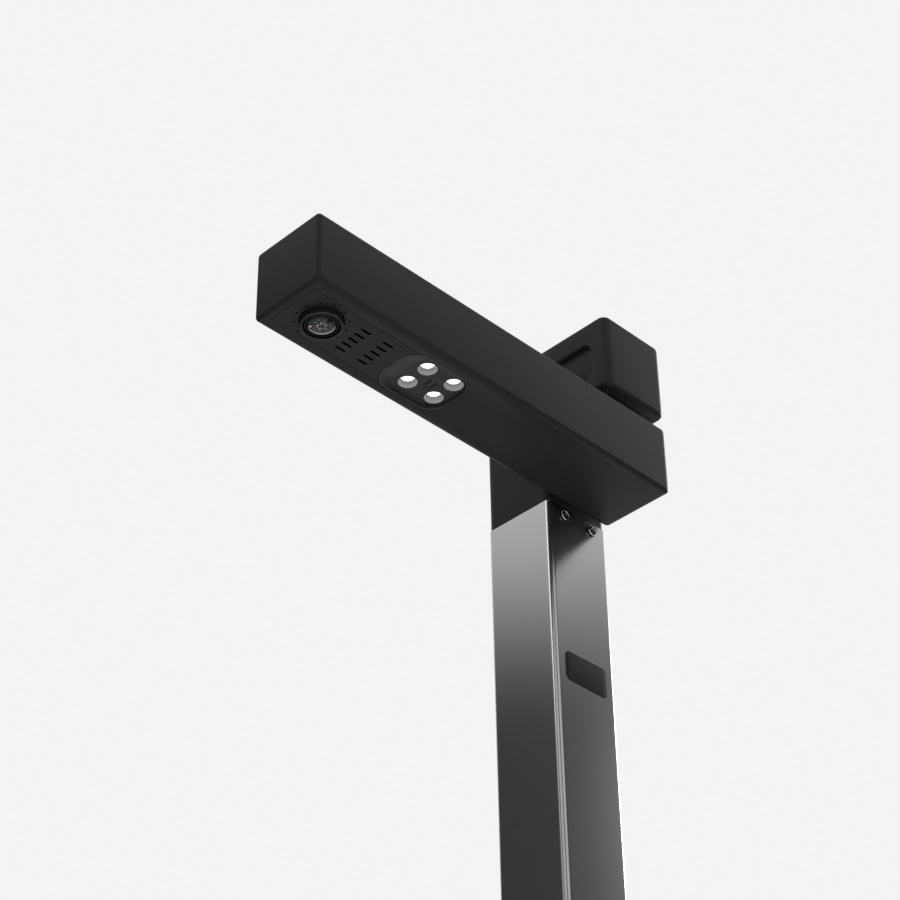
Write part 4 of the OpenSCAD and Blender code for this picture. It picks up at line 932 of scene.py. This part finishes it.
bm = bmesh.new()
crown_steps = [(grow, sink + CROWN_SINK) for grow, sink in brim(CROWN_EDGE, CROWN_DEPTH, 3)]
cross_steps = [(grow, sink + CROWN_SINK) for grow, sink in convex(CROSS_EDGE, CROWN_DEPTH, 2)]
for facing, x in (("right", screws_high.x - SCREW_SUNK), ("left", screws_low.x + SCREW_SUNK)):
    lift = abs(x - column_x) - column_size.x / 2
    rim_profile = [
        (SCREW_R, lift), (SCREW_R, RIM_SIDE), (SCREW_R - RIM_CORNER, 0), (SCREW_FLAT, 0),
        (GROOVE_OUT, GROOVE_START), (GROOVE_OUT, GROOVE_DEPTH), (GROOVE_IN, GROOVE_DEPTH),
        (GROOVE_IN, lift)]
    for y in (screws_low.y + SCREW_R, screws_high.y - SCREW_R):
        where = place(x, y, screw_z, facing)
        turned(bm, where, rim_profile, 48)
        plate(bm, where, circle(CROWN_D, 40), crown_steps, [(cross, where, cross_steps)])
# Faces within half a millimetre of the column, the groove among them, and each head's face round
# its cross, are painted black as painted shade
mark(bm, 1, lambda spot: abs(spot.x - column_x) < column_size.x / 2 + GROOVE_SHADE)
mark(bm, 1, on_screw_face)
piece("column_screw_heads", bm, screw_steel, "stand", ["column_screws"], 30,
      [painted_shade_black])

# Base cover with its column hole, button holes and port
BASE_WALL, BASE_CORNER, BASE_EDGE = 2.5 * MM, 12 * MM, 3 * MM
COLUMN_GAP, COLUMN_HOLE_CORNER, COLUMN_HOLE_EDGE = 0.6 * MM, 5.1 * MM, 0.4 * MM
SCAN_D, POWER_D, KEY_GAP, KEY_HOLE_EDGE = 15 * MM, 8 * MM, 0.6 * MM, 0.5 * MM
PORT_GAP, PORT_EDGE = 0.2 * MM, 0.35 * MM
scan = middle_of(scan_low, scan_high)
power = middle_of(power_low, power_high)
port = middle_of(port_low, port_high)
port_size = port_high - port_low
inside = Vector((BASE_WALL, BASE_WALL, 0))
roof = Vector((0, 0, BASE_WALL))
key_steps = convex(KEY_HOLE_EDGE, BASE_WALL)
column_hole = rounded(column_size.x + COLUMN_GAP, column_size.y + COLUMN_GAP, COLUMN_HOLE_CORNER)
port_hole = rounded(port_size.x + PORT_GAP, port_size.z + PORT_GAP, port_size.z / 2 - HAIR)
bm = bmesh.new()
soft_block(bm, base_low, base_high, 2, BASE_CORNER, (0, BASE_EDGE), 10)
soft_block(bm, base_low + inside, base_high - inside - roof, 2, BASE_CORNER - BASE_WALL, (0, 0), 10)
hole_places = [place(x, y, base_high.z, "top")
               for x, y in ((column_x, column_y), (scan.x, scan.y), (power.x, power.y))]
pierce(bm, flat_face(bm, 2, base_high.z), flat_face(bm, 2, base_high.z - BASE_WALL),
       [(column_hole, hole_places[0], convex(COLUMN_HOLE_EDGE, BASE_WALL, 3)),
        (circle(SCAN_D + KEY_GAP, 64), hole_places[1], key_steps),
        (circle(POWER_D + KEY_GAP, 48), hole_places[2], key_steps)])
pierce(bm, flat_face(bm, 1, base_high.y), flat_face(bm, 1, base_high.y - BASE_WALL),
       [(port_hole, place(port.x, base_high.y, port.z, "rear"), convex(PORT_EDGE, BASE_WALL, 3))])
bottoms = [f for f in bm.faces if on_plane(f, 2, base_low.z)]
borders = [list(f.edges) for f in bottoms]
bmesh.ops.delete(bm, geom=bottoms, context="FACES_ONLY")
fill(bm, *borders)
piece("base_housing", bm, charcoal, "stand", ["base_cover"])

# Buttons: a soft-edged cap with a shallow finger dish, on its flange and stem
KEY_SOFT, KEY_DISH, KEY_DISH_SHARE, KEY_DISH_STEPS = 0.5 * MM, 0.25 * MM, 0.78, 8
KEY_FLANGE, KEY_STEM_R = 1 * MM, 1.8 * MM


def button(name, low, high, diameter, body, node):
    r = diameter / 2
    centre = middle_of(low, high)
    stem_end = high.z - low.z
    finger = [(r * KEY_DISH_SHARE * k / KEY_DISH_STEPS, KEY_DISH * (1 - (k / KEY_DISH_STEPS) ** 2))
              for k in range(KEY_DISH_STEPS + 1)]
    flange_r = (high.x - low.x) / 2
    flange = high.z - (base_high.z - BASE_WALL)
    profile = finger + arc_edge(r, 0, KEY_SOFT) + [
        (r, flange), (flange_r, flange), (flange_r, flange + KEY_FLANGE),
        (KEY_STEM_R, flange + KEY_FLANGE), (KEY_STEM_R, stem_end), (0, stem_end)]
    bm = bmesh.new()
    turned(bm, place(centre.x, centre.y, high.z, "top"), profile, 64, closed=False)
    piece(name, bm, button_plastic, body, [node], 40)


button("scan_key_cap", scan_low, scan_high, SCAN_D, "scan_key", "scan_button")
button("power_key_cap", power_low, power_high, POWER_D, "power_key", "power_button")


# Stage: a pale floor that hides nothing from below, and a pale world
FLOOR_RADIUS = 2.6


def stage_floor():
    """A round sheet of pale paper, clear to the camera from below."""
    bm = bmesh.new()
    bmesh.ops.create_circle(bm, cap_ends=True, segments=96, radius=FLOOR_RADIUS)
    finish = Finish("floor_paper", Specular_IOR_Level=0.0, Roughness=1.0)
    fibre = finish.noise(finish.place(), 60, detail=4)
    finish.feed("Base Color", finish.blend(fibre, (0.8, 0.8, 0.8), (0.84, 0.84, 0.84)))
    camera_ray = finish.add("ShaderNodeLightPath", output="Is Camera Ray")
    below = finish.add("ShaderNodeNewGeometry", output="Backfacing")
    clear = finish.tree.nodes.new("ShaderNodeBsdfTransparent")
    mix = finish.tree.nodes.new("ShaderNodeMixShader")
    hidden = camera_ray * below
    finish.tree.links.new(hidden.socket, mix.inputs[0])
    finish.tree.links.new(finish.shader.outputs[0], mix.inputs[1])
    finish.tree.links.new(clear.outputs[0], mix.inputs[2])
    output = next(n for n in finish.tree.nodes if n.type == "OUTPUT_MATERIAL")
    finish.tree.links.new(mix.outputs[0], output.inputs["Surface"])
    floor = into_scene("floor", mesh_from("floor", bm, finish.material))


def pale_world():
    """A pale backdrop for the camera, metal and glass, and a softer one for matt surfaces."""
    world = bpy.data.worlds.new("studio")
    world.use_nodes = True
    tree = world.node_tree
    tree.nodes.clear()
    path = tree.nodes.new("ShaderNodeLightPath")
    backdrop = tree.nodes.new("ShaderNodeBackground")
    backdrop.inputs["Color"].default_value = (0.9, 0.9, 0.905, 1)
    light = tree.nodes.new("ShaderNodeBackground")
    light.inputs["Color"].default_value = (1, 1, 1, 1)
    light.inputs["Strength"].default_value = 0.58
    share = path.outputs["Is Camera Ray"]
    for kind in ("Is Glossy Ray", "Is Transmission Ray"):
        both = tree.nodes.new("ShaderNodeMath")
        both.operation = "MAXIMUM"
        tree.links.new(share, both.inputs[0])
        tree.links.new(path.outputs[kind], both.inputs[1])
        share = both.outputs[0]
    mix = tree.nodes.new("ShaderNodeMixShader")
    output = tree.nodes.new("ShaderNodeOutputWorld")
    tree.links.new(share, mix.inputs[0])
    tree.links.new(light.outputs[0], mix.inputs[1])
    tree.links.new(backdrop.outputs[0], mix.inputs[2])
    tree.links.new(mix.outputs[0], output.inputs["Surface"])
    bpy.context.scene.world = world


def card_grey(name, solid, gone):
    """Dark card that is solid up to one height and gone from another, in metres."""
    finish = Finish(name, Roughness=0.9, Specular_IOR_Level=0.0, Base_Color=(0.0, 0.0, 0.0),
                    Emission_Color=(1, 1, 1), Emission_Strength=0.07)
    height = finish.add("ShaderNodeSeparateXYZ", None, {0: finish.place()}, output="Z")
    left = finish.add("ShaderNodeMapRange", {"interpolation_type": "SMOOTHSTEP"},
                      {"Value": height, "From Min": solid, "From Max": gone,
                       "To Min": 1.0, "To Max": 0.0})
    finish.feed("Alpha", left)
    return finish.material


def dark_card(name, finish, azimuth, distance, width, top):
    """A studio flag: an upright dark card beside the column, which only polished surfaces see."""
    turn = Matrix.Rotation(math.radians(azimuth), 4, "Z")
    foot = Matrix.Translation((column_x, column_y, top / 2))
    where = foot @ turn @ Matrix.Translation((distance, 0, 0))
    bm = bmesh.new()
    bmesh.ops.create_grid(bm, size=0.5, matrix=where @ Matrix.Rotation(math.pi / 2, 4, "Y")
                          @ Matrix.Diagonal((top, width, 1, 1)))
    card = into_scene(name, mesh_from(name, bm, finish))
    for kind in ("camera", "diffuse", "transmission", "volume_scatter", "shadow"):
        setattr(card, "visible_" + kind, False)


def area_lamp(name, spot, target, width, height, power):
    """A soft lamp, which the camera doesn't see."""
    data = bpy.data.lights.new(name, "AREA")
    data.shape = "RECTANGLE"
    data.size = width
    data.size_y = height
    data.energy = power
    lamp = into_scene(name, data)
    aim = Vector(target) - Vector(spot)
    lamp.visible_camera = False
    lamp.matrix_world = Matrix.Translation(spot) @ aim.to_track_quat("-Z", "Y").to_matrix().to_4x4()


stage_floor()
pale_world()
fading = card_grey("card_fading", 0.42, 0.66)
even = card_grey("card_even", 0.7, 0.8)

# Flags: azimuth in degrees, then distance, width and top in metres
dark_card("left_card", fading, -134.5, 0.32, 0.46, 0.66)
dark_card("corner_strip", even, -77, 0.38, 0.1, 0.8)
dark_card("right_card", fading, 56, 0.32, 0.36, 0.66)
dark_card("front_strip", even, -32, 0.38, 0.1, 0.8)
dark_card("side_strip", even, 20, 0.38, 0.11, 0.8)

# Lamps: place, target, width and height in metres, then power in watts
area_lamp("rear_lamp", (0.25, 2.1, 1.25), (0.03, -0.1, 0.36), 0.6, 0.6, 40)
area_lamp("edge_lamp", (-0.06, -0.93, 1.22), (0.02, -0.02, 0.3), 0.08, 0.7, 1.0)
area_lamp("top_lamp", (0.3, 0.0, 2.2), (0.03, -0.1, 0.36), 1.2, 1.2, 6)


# The photograph's camera, solved from the straight edges of the head and the column
CAMERA_SPOT = Vector((686.55, -771.2, -359.6)) * MM
PITCH, YAW, ROLL = math.radians(36.384), math.radians(44.514), math.radians(-0.951)
LENS, SENSOR = 93.23, 36
ahead = Vector((-math.cos(PITCH) * math.sin(YAW), math.cos(PITCH) * math.cos(YAW), math.sin(PITCH)))
level = Vector((math.cos(YAW), math.sin(YAW), 0))
upright = level.cross(ahead)
right = math.cos(ROLL) * level + math.sin(ROLL) * upright
up = math.cos(ROLL) * upright - math.sin(ROLL) * level
data = bpy.data.cameras.new("photo_camera")
data.sensor_width = SENSOR
data.lens = LENS
camera = into_scene("photo_camera", data)
turn = Matrix((right, up, -ahead)).transposed().to_4x4()
camera.matrix_world = Matrix.Translation(CAMERA_SPOT) @ turn
bpy.context.scene.camera = camera
bpy.context.scene.view_settings.view_transform = "Standard"
